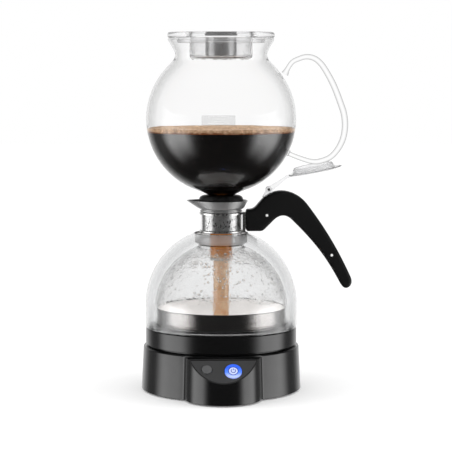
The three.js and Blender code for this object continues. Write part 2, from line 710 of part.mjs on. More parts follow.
add(
  "funnel_gasket",
  turned(
    [
      [TUBE.radius + 0.2, 188],
      [19.6, 188],
      [19.9, 199.8],
      [22.9, 205],
      [24.2, 208.6],
      [24.2, 210],
      [22.9, 212.4],
      [20.4, 213.6],
      [16.2, 213.6],
      [TUBE.radius + 0.2, 210.4],
    ],
    32,
  ),
  material.silicone,
);
add("stem_bush", tube(STEM.radius + 0.2, TUBE.radius, 141.2, TUBE.bottom - 0.2), material.paleSilicone);
add("funnel_stem", tube(STEM.bore, STEM.radius, STEM.bottom, STEM.top), material.glass);

// Filter: a pierced plate and its cloth in the bowl's foot, held down by a spring and a hooked wire.
const plateProfile = [
  [0, 222.6],
  [23.6, 222.6],
  [FILTER.plate, 224.6],
  [FILTER.plate, FILTER.top],
  [0, FILTER.top],
];
let filterPlate = turned(plateProfile, 28);
for (let i = 0; i < 6; i++) {
  const a = (i * Math.PI) / 3;
  const hole = disc(3.2, 215, 230, 8).translate([15 * Math.cos(a), 15 * Math.sin(a), 0]);
  filterPlate = filterPlate.subtract(hole);
}
filterPlate = filterPlate.add(tube(1.2, 5.6, 218.6, 223, 16)).subtract(disc(1.2, 210, 235, 10));
add("filter_plate", filterPlate, material.blackPlastic);
add("filter_cloth", disc(25.6, FILTER.top + GAP, FILTER.top + 1.8, 28), material.paleSilicone);
class Coil extends THREE.Curve {
  getPoint(t, target = new THREE.Vector3()) {
    const a = 2 * Math.PI * 5 * t;
    const z = THREE.MathUtils.lerp(FILTER.springBottom, FILTER.springTop, t);
    return target.set(FILTER.springRadius * Math.cos(a), FILTER.springRadius * Math.sin(a), z);
  }
}
const spring = new THREE.ExtrudeGeometry(new THREE.Shape().absarc(0, 0, 0.6, 0, 2 * Math.PI), {
  extrudePath: new Coil(),
  steps: 50,
  curveSegments: 3,
  bevelEnabled: false,
});
add("filter_spring", solid(spring), material.steel);
add("filter_wire", disc(FILTER.wire, 68.4, FILTER.top - 0.2, 8), material.steel);
add("filter_bead", disc(5.8, 65.4, 68.1), material.steel);

// ---------------------------------------------------------------- funnel lid
const cup = LID.cupRadius;
add(
  "lid_shell",
  turned([
    [0, LID.cupBottom],
    [cup - 2, LID.cupBottom],
    [cup, LID.cupBottom + 2],
    [cup, LID.bottom],
    [47, LID.bottom],
    [47, LID.bottom - 4.8],
    [48.6, LID.bottom - 4.8],
    [49, LID.bottom],
    [LID.radius - 1, LID.bottom],
    [LID.radius, LID.bottom + 1.4],
    [LID.radius, LID.top - 1.6],
    [LID.radius - 1.4, LID.top],
    [cup - 0.6, LID.top],
    [cup - 1.6, LID.top - 1],
    [cup - 1.6, LID.cupBottom + 2.4],
    [cup - 2.6, LID.cupBottom + 1.6],
    [0, LID.cupBottom + 1.6],
  ]),
  material.clearPlastic,
);
const knobProfile = [
  [0, KNOB.top - KNOB.wall],
  [KNOB.radius - KNOB.wall, KNOB.top - KNOB.wall],
  [KNOB.radius - KNOB.wall, KNOB.bottom],
  [KNOB.radius, KNOB.bottom],
  [KNOB.radius, KNOB.top],
  [0, KNOB.top],
];
add("lid_knob", turned(knobProfile, 24), material.steel);
const capBottom = KNOB.top + GAP;
add("lid_cap", disc(KNOB.capRadius, capBottom, capBottom + KNOB.capHeight, 24), material.silicone);

export default root;
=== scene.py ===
"""Looks for the electric vacuum coffee brewer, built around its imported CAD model.

The vessel axis is Z and the control panel faces -Y. Profiles are drawn in millimetres from a datum
that lies LIFT above the table, and every piece is raised by that much when finished.
Every turned piece is revolved again with fine sides, and every surface gets a procedural material.
"""
import math
import random

import bmesh
import bpy
from mathutils import Matrix, Vector


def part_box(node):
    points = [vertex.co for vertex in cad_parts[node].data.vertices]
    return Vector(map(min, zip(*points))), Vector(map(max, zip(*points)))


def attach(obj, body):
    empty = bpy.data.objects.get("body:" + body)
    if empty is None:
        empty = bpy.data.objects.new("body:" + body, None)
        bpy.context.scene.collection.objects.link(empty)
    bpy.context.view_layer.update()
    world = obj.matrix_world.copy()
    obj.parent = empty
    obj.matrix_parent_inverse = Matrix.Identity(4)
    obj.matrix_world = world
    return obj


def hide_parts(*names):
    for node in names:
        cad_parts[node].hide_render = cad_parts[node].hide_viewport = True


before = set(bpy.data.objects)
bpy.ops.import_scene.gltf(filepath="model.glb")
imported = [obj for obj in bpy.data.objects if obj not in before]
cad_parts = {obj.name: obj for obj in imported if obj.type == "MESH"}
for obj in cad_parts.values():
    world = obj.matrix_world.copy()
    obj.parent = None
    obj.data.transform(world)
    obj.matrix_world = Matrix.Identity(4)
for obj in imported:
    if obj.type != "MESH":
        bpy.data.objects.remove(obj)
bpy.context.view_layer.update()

MM = 0.001
LIFT = 2.4  # the drawing datum's height above the table
FINE = 160  # sides of a turned piece where no number is given
rng = random.Random(7)


# ---- camera
CAMERA_DISTANCE = 1.88
CAMERA_HEIGHT = 0.3574
AIM_HEIGHT = 0.1819
CAMERA_LENS, CAMERA_SENSOR = 135.4, 36  # millimetres
AXIS_OFFSET = 0.0054  # the vessel axis stands this far left of the picture's middle
CAMERA_AZIMUTH = math.radians(1.8)  # the camera stands this far to the left of the panel's front


def make_camera():
    data = bpy.data.cameras.new("camera")
    data.lens = CAMERA_LENS
    data.sensor_width = CAMERA_SENSOR
    data.clip_end = 50
    camera = bpy.data.objects.new("camera", data)
    bpy.context.scene.collection.objects.link(camera)
    turn = Matrix.Rotation(-CAMERA_AZIMUTH, 4, "Z")
    camera.location = turn @ Vector((AXIS_OFFSET, -CAMERA_DISTANCE, CAMERA_HEIGHT))
    aim = turn @ Vector((AXIS_OFFSET, 0, AIM_HEIGHT)) - camera.location
    camera.rotation_euler = aim.to_track_quat("-Z", "Y").to_euler()
    bpy.context.scene.camera = camera


make_camera()


# ---- node helpers
class Graph:
    """A node tree that nodes are added to with their inputs and settings in one call."""

    def __init__(self, owner):
        owner.use_nodes = True
        self.tree = owner.node_tree

    def add(self, kind, inputs=None, **settings):
        node = self.tree.nodes.new(kind)
        for key, value in settings.items():
            setattr(node, key, value)
        for key, value in (inputs or {}).items():
            if isinstance(value, bpy.types.NodeSocket):
                self.tree.links.new(value, node.inputs[key])
            else:
                node.inputs[key].default_value = value
        return node

    def calc(self, operation, first, second):
        return self.add("ShaderNodeMath", {0: first, 1: second}, operation=operation).outputs[0]

    def times(self, first, second):
        return self.calc("MULTIPLY", first, second)

    def spread(self, value, low, high, start=0.3, end=0.7, **settings):
        inputs = {"Value": value, "From Min": start, "From Max": end, "To Min": low, "To Max": high}
        return self.add("ShaderNodeMapRange", inputs, **settings).outputs["Result"]


class Nodes(Graph):
    """A material's node tree, with short calls for the nodes used here."""

    def __init__(self, name):
        self.material = bpy.data.materials.new(name)
        super().__init__(self.material)
        self.shader = self.tree.nodes["Principled BSDF"]
        self.output = self.tree.nodes["Material Output"]

    def set(self, **values):
        for key, value in values.items():
            socket = self.shader.inputs[key.replace("_", " ")]
            if isinstance(value, bpy.types.NodeSocket):
                self.tree.links.new(value, socket)
            else:
                socket.default_value = value

    def place(self, scale=(1, 1, 1)):
        where = self.add("ShaderNodeTexCoord").outputs["Object"]
        return self.add("ShaderNodeMapping", {"Vector": where, "Scale": scale}).outputs["Vector"]

    def noise(self, scale, detail=4, stretch=(1, 1, 1), rough=0.6):
        inputs = {"Vector": self.place(stretch), "Scale": scale, "Detail": detail, "Roughness": rough}
        return self.add("ShaderNodeTexNoise", inputs).outputs["Fac"]

    def height(self):
        return self.add("ShaderNodeSeparateXYZ", {"Vector": self.place()}).outputs["Z"]

    def cells(self, scale, stretch=(1, 1, 1)):
        """Distance from the nearest of many scattered points."""
        inputs = {"Vector": self.place(stretch), "Scale": scale}
        return self.add("ShaderNodeTexVoronoi", inputs).outputs["Distance"]

    def facing(self, blend=0.5):
        return self.add("ShaderNodeLayerWeight", {"Blend": blend}).outputs["Facing"]

    def blend(self, value, first, second):
        ends = [c if isinstance(c, bpy.types.NodeSocket) else (*c, 1) for c in (first, second)]
        return self.add("ShaderNodeMix", {0: value, 6: ends[0], 7: ends[1]}, data_type="RGBA").outputs[2]

    def bump(self, value, strength, distance, under=None):
        inputs = {"Height": value, "Strength": strength, "Distance": distance}
        if under:
            inputs["Normal"] = under
        return self.add("ShaderNodeBump", inputs).outputs["Normal"]

    def let_lamps_through(self, share=1.0):
        """Rays from lamps pass straight through, so that what the glass holds is lit."""
        clear = self.add("ShaderNodeBsdfTransparent", {"Color": (share, share, share, 1)})
        lamp = self.add("ShaderNodeLightPath").outputs["Is Shadow Ray"]
        mix = self.add("ShaderNodeMixShader", {0: lamp, 1: self.shader.outputs[0], 2: clear.outputs[0]})
        self.tree.links.new(mix.outputs[0], self.output.inputs["Surface"])


# ---- materials
def plastic(name, color, low, high, grain, strength=0.05, ior=1.5):
    """Moulded plastic: a fine spark-eroded grain, uneven gloss and a faint cloudiness in the colour."""
    n = Nodes(name)
    lighter = tuple(min(1, c * 1.15 + 0.0003) for c in color)
    n.set(Base_Color=n.blend(n.spread(n.noise(35), 0, 1), color, lighter))
    n.set(Roughness=n.spread(n.noise(60, 6), low, high))
    fine = n.noise(grain, 2)
    n.set(Normal=n.bump(fine, strength, 0.0001), IOR=ior)
    return n.material


def clear(name, tint=(1, 1, 1), ior=1.47, haze=0.0, wave=0.02, shadow=0.97, edge=0.6, body=1.0, start=0.5):
    """Clear glass or plastic: the faint waviness of a blown or moulded wall, with painted shade that greys it
    where it is seen edge on.
    """
    n = Nodes(name)
    # painted shade: edge-on parts of the wall are tinted darker, by the factor edge
    rim = n.spread(n.facing(), 0, 1, start, 1.0)
    n.set(Base_Color=n.blend(rim, tint, tuple(c * edge for c in tint)), Transmission_Weight=body, IOR=ior)
    n.set(Roughness=n.spread(n.noise(90, 3), haze, haze + 0.015))
    n.set(Normal=n.bump(n.noise(38, 2), wave, 0.001))
    n.let_lamps_through(shadow)
    return n.material


def bowl_wall(name):
    """The bowl's glass; it refracts less above the coffee, so that no light box shows there."""
    n = Nodes(name)
    height = n.height()
    # painted shade: the glass is tinted grey where it is seen edge on
    rim = n.spread(n.facing(), 0, 1, 0.5, 1.0)
    n.set(Base_Color=n.blend(rim, (0.99, 0.99, 0.99), (0.45, 0.45, 0.45)), Transmission_Weight=1.0)
    n.set(IOR=n.spread(height, 1.47, 1.2, 0.288, 0.294), Roughness=n.spread(n.noise(90, 3), 0.0, 0.012))
    n.set(Normal=n.bump(n.noise(38, 2), 0.004, 0.001))
    n.let_lamps_through(0.97)
    return n.material


def dewy(name):
    """The inner vessel's wall: clear beside the pot, misted and beaded with condensation above it."""
    n = Nodes(name)
    height = n.height()
    wet = n.times(n.spread(height, 0, 1, 0.093, 0.1), n.spread(height, 1, 0, 0.158, 0.161))
    bead = n.spread(n.cells(520), 1, 0, 0.05, 0.5)
    patch = n.spread(n.noise(45, 5), 0.1, 1, 0.42, 0.62)
    amount = n.times(n.times(bead, patch), wet)
    film = n.times(wet, n.spread(n.noise(30, 6), 0.3, 1))
    n.set(Base_Color=(1, 1, 1, 1), IOR=1.4, Transmission_Weight=n.spread(film, 1.0, 0.965, 0, 1))
    n.set(Normal=n.bump(amount, 0.3, 0.0005))
    n.set(Roughness=n.spread(film, 0.0, 0.02, 0, 1))
    n.let_lamps_through(0.97)
    return n.material


def sleeve_steel(name):
    """The pouring collar's steel, with a band of condensed drops on its sleeve; the drops are painted near
    black for the dark they mirror.
    """
    n = Nodes(name)
    lines = n.noise(1.0, 8, (6, 6, 900), 0.75)
    height = n.height()
    band = n.times(n.spread(height, 0, 1, 0.179, 0.183), n.spread(height, 1, 0, 0.189, 0.1915))
    drops_painted_dark = n.times(n.spread(n.cells(430, (1, 1, 0.8)), 1, 0, 0.22, 0.4), band)
    # painted reflection: the steel's colour goes near black under each drop
    n.set(Base_Color=n.blend(drops_painted_dark, (0.5, 0.5, 0.5), (0.03, 0.03, 0.03)), Metallic=0.85)
    n.set(Roughness=n.spread(lines, 0.3, 0.4))
    n.set(Normal=n.bump(drops_painted_dark, 0.9, 0.0012, n.bump(lines, 0.06, 0.0002)))
    return n.material


def steel(name, color, low, high, stretch, strength):
    """Stainless steel with fine lines turned or drawn into it."""
    n = Nodes(name)
    lines = n.noise(1.0, 8, stretch, 0.75)
    n.set(Base_Color=n.blend(n.spread(lines, 0, 1), tuple(c * 0.86 for c in color), color))
    n.set(Metallic=1.0, Roughness=n.spread(lines, low, high))
    n.set(Normal=n.bump(lines, strength, 0.0002))
    return n.material


def glowing_lining(name):
    """The pot's inside, painted pale and given a glow of its own, which stands in for the light in the steam
    that fills it.
    """
    n = Nodes(name)
    cloud = n.spread(n.noise(25, 6), 0, 1)
    shade = n.blend(cloud, (0.8, 0.79, 0.78), (0.92, 0.91, 0.9))
    n.set(Base_Color=shade, Roughness=0.8)
    # painted glow: the lining gives off light though it is no lamp
    n.set(Emission_Color=shade, Emission_Strength=n.spread(cloud, 0.3, 0.4, 0, 1))
    return n.material


def rubber(name, color=(0.012, 0.012, 0.012), low=0.42, high=0.62):
    n = Nodes(name)
    dust = n.spread(n.noise(140, 6), 0, 1, 0.45, 0.75)
    n.set(Base_Color=n.blend(dust, color, tuple(c + 0.02 for c in color)))
    n.set(Roughness=n.spread(n.noise(50, 4), low, high))
    n.set(Normal=n.bump(n.noise(900, 3), 0.08, 0.0002))
    return n.material


def brass(name):
    n = Nodes(name)
    n.set(Base_Color=n.blend(n.spread(n.noise(200, 5), 0, 1), (0.5, 0.33, 0.12), (0.72, 0.5, 0.2)))
    n.set(Metallic=1.0, Roughness=n.spread(n.noise(120, 4), 0.2, 0.4))
    return n.material


def board(name):
    """A circuit board: green resist with lighter tracks showing through."""
    n = Nodes(name)
    tracks = n.add("ShaderNodeTexBrick", {"Vector": n.place(), "Scale": 120.0, "Mortar Size": 0.03})
    fac = n.times(tracks.outputs["Fac"], 0.6)
    n.set(Base_Color=n.blend(fac, (0.012, 0.11, 0.05), (0.05, 0.22, 0.1)))
    n.set(Roughness=n.spread(n.noise(80), 0.3, 0.5))
    return n.material


def cloth(name):
    n = Nodes(name)
    wave = n.add("ShaderNodeTexWave", {"Vector": n.place(), "Scale": 900.0}, wave_type="BANDS").outputs["Fac"]
    n.set(Base_Color=n.blend(wave, (0.45, 0.3, 0.18), (0.62, 0.46, 0.3)))
    n.set(Roughness=0.9, Normal=n.bump(wave, 0.4, 0.0003))
    return n.material


def coffee(name):
    """Brewed coffee in the bowl, nearly black and unevenly murky, with a painted red-brown sheen where its
    surface turns edge on.
    """
    n = Nodes(name)
    # painted sheen: the colour lightens towards the outline as the surface turns away from the view
    edge = n.facing(0.25)
    murk = n.spread(n.noise(14, 4), 0, 0.5)
    murk_and_edge_sheen = n.times(edge, murk)
    n.set(Base_Color=n.blend(murk_and_edge_sheen, (0.0035, 0.0016, 0.001), (0.02, 0.007, 0.003)))
    n.set(Roughness=n.spread(n.noise(20), 0.16, 0.24), IOR=1.6)
    return n.material


def crema(name):
    """The tan froth on the coffee: bubbles of mixed size, browner where it meets the coffee, lightened by a
    painted glow.
    """
    n = Nodes(name)
    big = n.cells(330)
    small = n.cells(1100)
    froth = n.times(n.spread(n.noise(160, 6), 0.5, 1, 0.35, 0.6), n.spread(big, 1, 0.5, 0.1, 0.7))
    ragged = n.calc("ADD", n.height(), n.spread(n.noise(210, 5), -0.0011, 0.0011))
    thin = n.times(froth, n.spread(ragged, 0, 1, 0.2866, 0.2888))
    shade = n.blend(thin, (0.2, 0.07, 0.026), (1.0, 0.72, 0.47))
    # painted glow: the froth gives off light of its own colour
    n.set(Base_Color=shade, Emission_Color=shade, Emission_Strength=0.2)
    n.set(Roughness=n.spread(big, 0.35, 0.6, 0, 0.6), IOR=1.2)
    under = n.bump(small, 0.5, 0.0004)
    n.set(Normal=n.bump(big, 0.6, 0.0012, under))
    return n.material


def stem_brew(name):
    """Coffee and bubbles in the stem: brown, darker and redder towards the top, lightened by a painted glow.
    """
    n = Nodes(name)
    rise = n.spread(n.height(), 0, 1, 0.1475, 0.1515)
    froth = n.spread(n.noise(130, 7), 0, 1, 0.35, 0.65)
    low = n.blend(froth, (0.8, 0.44, 0.22), (0.95, 0.7, 0.46))
    shade = n.blend(rise, low, (0.78, 0.3, 0.05))
    # painted glow: the coffee gives off light of its own colour
    n.set(Base_Color=shade, Roughness=0.25, IOR=1.34, Emission_Color=shade, Emission_Strength=0.15)
    n.set(Normal=n.bump(froth, 0.4, 0.001))
    return n.material


def ring_light(name, low, high):
    """The lit ring: royal blue at its top, washing out to pale lavender at its foot."""
    n = Nodes(name)
    fall = n.spread(n.height(), 0, 1, low, high)
    color = n.add("ShaderNodeValToRGB", {"Fac": fall}).outputs["Color"]
    ramp = color.node.color_ramp
    ramp.elements[0].color = (0.38, 0.46, 0.95, 1)
    ramp.elements[0].position = 0.05
    ramp.elements[1].color = (0.02, 0.1, 0.72, 1)
    ramp.elements[1].position = 0.75
    middle = ramp.elements.new(0.38)
    middle.color = (0.07, 0.2, 0.9, 1)
    n.set(Base_Color=color, Roughness=n.spread(n.noise(300), 0.15, 0.3))
    n.set(Emission_Color=color, Emission_Strength=0.36)
    return n.material


def glow(name, color, strength):
    n = Nodes(name)
    even = n.spread(n.noise(220, 3), 0, 1)
    shade = n.blend(even, tuple(c * 0.88 for c in color), color)
    n.set(Base_Color=shade, Roughness=0.25, Emission_Color=shade, Emission_Strength=strength)
    return n.material


def frosted(name, low, high, cover):
    """Fired-on marks on the glass, letting some of what lies behind them show."""
    n = Nodes(name)
    speck = n.spread(n.noise(700, 4), 0, 1, 0.3, 0.7)
    n.set(Base_Color=n.blend(speck, (low, low, low), (high, high, high)), Roughness=0.7, Alpha=cover)
    return n.material


def water(name):
    n = Nodes(name)
    n.set(Base_Color=(1, 1, 1, 1), Transmission_Weight=1.0, IOR=1.33)
    n.set(Roughness=n.spread(n.noise(500), 0.0, 0.02))
    n.let_lamps_through(1.0)
    return n.material


BASE_BLACK = plastic("base_black", (0.0035, 0.0035, 0.0037), 0.17, 0.22, 1500, 0.012, 1.52)
HANDLE_BLACK = plastic("handle_black", (0.0055, 0.0055, 0.0057), 0.46, 0.52, 900, 0.05, 1.4)
PANEL_GREY = plastic("panel_grey", (0.035, 0.035, 0.036), 0.42, 0.55, 1300, 0.1)
BUTTON_GREY = plastic("button_grey", (0.085, 0.086, 0.088), 0.3, 0.42, 1000, 0.06)
GLASS = bowl_wall("blown_glass")
# edge sets how dark each clear material's painted edge shade is; the rod's glass is painted dark nearly all
# over
ROD_GLASS = clear("rod_glass", ior=1.04, haze=0.0, wave=0.0, edge=0.1, start=0.02)
CLEAR_PLASTIC = clear("clear_plastic", (0.985, 0.988, 0.99), 1.42, 0.0, 0.005, edge=0.8)
LID_PLASTIC = clear("lid_plastic", (0.99, 0.99, 0.995), 1.2, 0.1, 0.01, 0.95, 0.7, 0.9, 0.3)
MISTED = clear("misted_plastic", (0.96, 0.965, 0.97), 1.22, 0.28, 0.02, 0.9, 0.9, 0.74)
DEWY = dewy("dewy_wall")
SLEEVE_STEEL = sleeve_steel("sleeve_steel")
POT_STEEL = steel("pot_steel", (0.21, 0.197, 0.19), 0.2, 0.26, (6, 6, 900), 0.01)
KNOB_STEEL = steel("knob_steel", (0.5, 0.5, 0.5), 0.25, 0.34, (6, 6, 900), 0.01)
POT_INSIDE = glowing_lining("pot_inside")
BRIGHT = steel("pin_steel", (0.8, 0.8, 0.79), 0.2, 0.35, (300, 300, 300), 0.02)
PIN_END = plastic("pin_end", (0.78, 0.78, 0.77), 0.3, 0.4, 300, 0.02)
RUBBER = rubber("black_silicone", (0.0045, 0.0045, 0.0045))
FOOT_RUBBER = rubber("foot_rubber", (0.02, 0.02, 0.02), 0.6, 0.8)
PALE = rubber("pale_silicone", (0.7, 0.7, 0.69), 0.3, 0.45)
BRASS = brass("contact_brass")
BOARD = board("circuit_board")
CLOTH = cloth("filter_cloth")
COFFEE = coffee("brewed_coffee")
CREMA = crema("crema")
STEM_BREW = stem_brew("stem_brew")
WATER = water("condensed_water")
PATCH = frosted("fired_patch", 0.3, 0.42, 0.32)
MARKS = frosted("fired_marks", 0.75, 0.9, 0.6)
NAVY = glow("navy_lens", (0.008, 0.016, 0.12), 0.25)
LENS = glow("lens_white", (0.5, 0.57, 0.95), 0.3)
SYMBOL = glow("symbol_blue", (0.01, 0.02, 0.16), 0.25)


# ---- mesh helpers
def piece(name, vertices, faces, material, body, replaced=(), sharp=40):
    """A finished mesh object that rides on a CAD body and stands for some of its nodes."""
    mesh = bpy.data.meshes.new(name)
    mesh.from_pydata([tuple(v) for v in vertices], [], faces)
    return settle(name, mesh, material, body, replaced, sharp)


def as_object(mesh, name="work"):
    obj = bpy.data.objects.new(name, mesh)
    bpy.context.scene.collection.objects.link(obj)
    return obj


def baked(obj):
    """An object's mesh with its modifiers applied; the object itself is deleted."""
    bpy.context.view_layer.update()
    mesh = bpy.data.meshes.new_from_object(obj.evaluated_get(bpy.context.evaluated_depsgraph_get()))
    bpy.data.objects.remove(obj)
    return mesh


def settle(name, mesh, material, body, replaced=(), sharp=40, flats=False, weighted=False):
    work = bmesh.new()
    work.from_mesh(mesh)
    bmesh.ops.translate(work, verts=work.verts, vec=(0, 0, LIFT * MM))
    bmesh.ops.remove_doubles(work, verts=work.verts, dist=1e-7)
    bmesh.ops.dissolve_degenerate(work, edges=work.edges, dist=1e-8)
    bmesh.ops.recalc_face_normals(work, faces=work.faces)
    work.to_mesh(mesh)
    work.free()
    mesh.materials.clear()
    mesh.materials.append(material)
    obj = as_object(mesh, name)
    mesh.polygons.foreach_set("use_smooth", [True] * len(mesh.polygons))
    mesh.set_sharp_from_angle(angle=math.radians(sharp))
    if flats:
        smooth = [max(map(abs, p.normal)) < 0.9995 for p in mesh.polygons]
        mesh.polygons.foreach_set("use_smooth", smooth)
    if body:
        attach(obj, body)
    if replaced:
        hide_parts(*replaced)
    if weighted:
        modifier = obj.modifiers.new("even shading", "WEIGHTED_NORMAL")
        modifier.keep_sharp = True
        modifier.weight = 100
    return obj


def revolved(profile, sides=FINE, reshape=None):
    """Vertices and faces of a closed profile of (radius, height) in millimetres turned about Z."""
    vertices = []
    faces = []
    count = len(profile)
    for i in range(sides):
        a = 2 * math.pi * i / sides
        for r, z in profile:
            point = Vector((r * MM * math.cos(a), r * MM * math.sin(a), z * MM))
            vertices.append(reshape(point) if reshape else point)
    for i in range(sides):
        k = (i + 1) % sides
        for j in range(count):
            m = (j + 1) % count
            if profile[j][0] < 1e-9 and profile[m][0] < 1e-9:
                continue
            faces.append((i * count + j, k * count + j, k * count + m, i * count + m))
    return vertices, faces


LONG_RUN = 5  # millimetres; a longer straight run of a profile is held
HOLD = 0.4  # how far inside the run's ends the holding points lie, in millimetres


def held(profile):
    """The profile with points just inside the ends of its long straight runs, which keeps them straight."""
    points = []
    for i, here in enumerate(profile):
        after = profile[(i + 1) % len(profile)]
        length = math.dist(here, after)
        points.append(here)
        if length > LONG_RUN:
            for share in (HOLD / length, 1 - HOLD / length):
                points.append(tuple(a + (b - a) * share for a, b in zip(here, after)))
    return points


def bands(rows, count, start=0):
    """Faces that join each closed row of count points to the next."""
    faces = []
    for low in range(start, start + (rows - 1) * count, count):
        high = low + count
        for j in range(count):
            k = (j + 1) % count
            faces.append((low + j, low + k, high + k, high + j))
    return faces


def capped(rows, count):
    """The same with both ends closed."""
    last = (rows - 1) * count
    return bands(rows, count) + [tuple(reversed(range(count))), tuple(range(last, last + count))]


def turned(name, profile, material, body, replaced=(), sides=FINE, reshape=None, sharp=40, matrix=None):
    vertices, faces = revolved(held(profile), sides, reshape)
    if matrix:
        vertices = [matrix @ v for v in vertices]
    return piece(name, vertices, faces, material, body, replaced, sharp)


def lying_at(where):
    """Lays a piece turned about Z along Y, at a point in metres."""
    return Matrix.Translation(where) @ Matrix.Rotation(math.pi / 2, 4, "X")


def arc(radius, centre_z, start, end, steps, centre_r=0.0):
    """Points of a profile on a circle, in millimetres, between two angles in degrees from level."""
    points = []
    for i in range(steps + 1):
        a = math.radians(start + (end - start) * i / steps)
        points.append((centre_r + radius * math.cos(a), centre_z + radius * math.sin(a)))
    return points


def curve_through(points, per=8):
    """Points of a Catmull-Rom curve through 2-D points, with per of them to each span."""
    pts = [Vector(p) for p in points]
    last = len(pts) - 1
    found = []
    for i in range(last):
        a, b, c, d = pts[max(i - 1, 0)], pts[i], pts[i + 1], pts[min(i + 2, last)]
        for j in range(per):
            t = j / per
            bend = (2 * a - 5 * b + 4 * c - d) * t * t + (3 * b - a - 3 * c + d) * t**3
            found.append(tuple(0.5 * (2 * b + (c - a) * t + bend)))
    found.append(tuple(pts[-1]))
    return found


def rounded(radius_in, radius_out, low, high, edge, steps=4):
    """A ring's rectangular section with rounded corners, in millimetres."""
    corners = [
        (radius_out - edge, low + edge, -90),
        (radius_out - edge, high - edge, 0),
        (radius_in + edge, high - edge, 90),
        (radius_in + edge, low + edge, 180),
    ]
    points = []
    for r, z, start in corners:
        points += arc(edge, z, start, start + 90, steps, r)
    return points


def rounded_disc(radius, low, high, edge, steps=4, sag=0.0):
    """A disc's half section with rounded rims, its top sunk by sag at the middle, in millimetres."""
    points = [(0, low)]
    for r, z, start in [(radius - edge, low + edge, -90), (radius - edge, high - edge, 0)]:
        points += arc(edge, z, start, start + 90, steps, r)
    if sag:
        points.append((radius * 0.5, high - sag * 0.8))
    points.append((0, high - sag))
    return points


def swept(path, radius_at, sides=20):
    """A round rod in the XZ plane along path; its flat ends lie inside other pieces."""
    vertices = []
    last = len(path) - 1
    for i, p in enumerate(path):
        ahead = (path[min(i + 1, last)] - path[max(i - 1, 0)]).normalized()
        across = Vector((ahead.z, 0, -ahead.x))
        r = radius_at(i / last)
        for j in range(sides):
            a = 2 * math.pi * j / sides
            vertices.append(p + across * r * math.cos(a) + Vector((0, r * math.sin(a), 0)))
    return vertices, capped(last + 1, sides)


def flat_outline_solid(outline, half_width, edge, resolution):
    """A mesh of an XZ outline given a thickness along Y, its edges rounded inwards."""
    data = bpy.data.curves.new("outline", "CURVE")
    data.dimensions = "2D"
    data.fill_mode = "BOTH"
    spline = data.splines.new("POLY")
    spline.points.add(len(outline) - 1)
    for point, (x, z) in zip(spline.points, outline):
        point.co = (x * MM, z * MM, 0, 1)
    spline.use_cyclic_u = True
    data.extrude = (half_width - edge) * MM
    data.bevel_depth = edge * MM
    data.bevel_resolution = resolution
    data.offset = -edge * MM
    mesh = baked(as_object(data))
    bpy.data.curves.remove(data)
    mesh.transform(Matrix.Rotation(math.pi / 2, 4, "X"))
    return mesh


def cut(target, cutters, operation="DIFFERENCE"):
    """Applies boolean modifiers to a plain object and deletes the cutters."""
    for cutter in cutters:
        modifier = target.modifiers.new("cut", "BOOLEAN")
        modifier.object = cutter
        modifier.operation = operation
        modifier.solver = "EXACT"
    mesh = baked(target)
    for cutter in cutters:
        bpy.data.objects.remove(cutter)
    return mesh


def loose(vertices, faces):
    """A plain object for boolean work."""
    mesh = bpy.data.meshes.new("work")
    mesh.from_pydata([tuple(v) for v in vertices], [], faces)
    work = bmesh.new()
    work.from_mesh(mesh)
    bmesh.ops.remove_doubles(work, verts=work.verts, dist=1e-7)
    bmesh.ops.recalc_face_normals(work, faces=work.faces)
    work.to_mesh(mesh)
    work.free()
    return as_object(mesh)


def loose_turned(profile, sides, matrix=Matrix()):
    vertices, faces = revolved(profile, sides)
    return loose([matrix @ v for v in vertices], faces)


def bevelled(mesh, width):
    """The mesh with its sharp edges rounded by width, in millimetres."""
    holder = as_object(mesh)
    modifier = holder.modifiers.new("bevel", "BEVEL")
    modifier.width = width * MM
    modifier.segments = 2
    modifier.limit_method = "ANGLE"
    modifier.angle_limit = math.radians(35)
    return baked(holder)


# ---- power base
BASE_R, BASE_TAPER = 88.8, 0.973
NOSE_R, NOSE_Y = 42.4, -70.9
housing_low, housing_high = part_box("base_housing")
BASE_LOW = housing_low.z / MM - LIFT
BASE_TOP = housing_high.z / MM - LIFT
WELL_R = 82.0
WELL_FLOOR = 34.0
CONNECTOR_R = 16.4  # the deeper hole for the connector in the well's floor
FOOT_EDGE, TOP_EDGE = 0.8, 1.3  # radii of the housing's lower and upper edges
PANEL_TILT = math.atan(0.919)
PANEL_TOP = Vector((0, -87.1, 44.9))


def base_outline(grow=0.0):
    """Plan of the base: a circle with a round tongue at the front, joined by small hollow fillets."""
    disc_r, nose_r = BASE_R + grow, NOSE_R + grow
    chord = (nose_r * nose_r - disc_r * disc_r - NOSE_Y * NOSE_Y) / (-2 * NOSE_Y)
    reach = math.sqrt(disc_r * disc_r - chord * chord)
    leave = math.degrees(math.asin(min(1, reach / disc_r)) + 0.03)
    points = arc(disc_r, 0, leave - 90, 270 - leave, 150)
    nose = arc(nose_r, NOSE_Y, 200, 340, 75)
    points += hollow(points[-1], (-reach, -abs(chord)), nose[0]) + nose
    return points + hollow(points[-1], (reach, -abs(chord)), points[0])


def hollow(start, corner, end, steps=12):
    """The inner points of a quadratic curve."""
    found = []
    for i in range(1, steps):
        t = i / steps
        shares = ((1 - t) ** 2, 2 * t * (1 - t), t * t)
        found.append(tuple(sum(w * p[k] for w, p in zip(shares, (start, corner, end))) for k in (0, 1)))
    return found


def stacked(levels):
    """A closed solid through plan outlines: levels are (outline, scale, height) in millimetres."""
    vertices = []
    for outline, scale, z in levels:
        vertices += [(x * scale * MM, y * scale * MM, z * MM) for x, y in outline]
    return loose(vertices, capped(len(levels), len(levels[0][0])))


def loft(levels):
    """A solid through the base's outline: levels are (grow, scale, height) in millimetres."""
    return stacked([(base_outline(grow), scale, z) for grow, scale, z in levels])


def wall_scale(z):
    return 1 + (BASE_TAPER - 1) * (z - BASE_LOW) / (BASE_TOP - BASE_LOW)


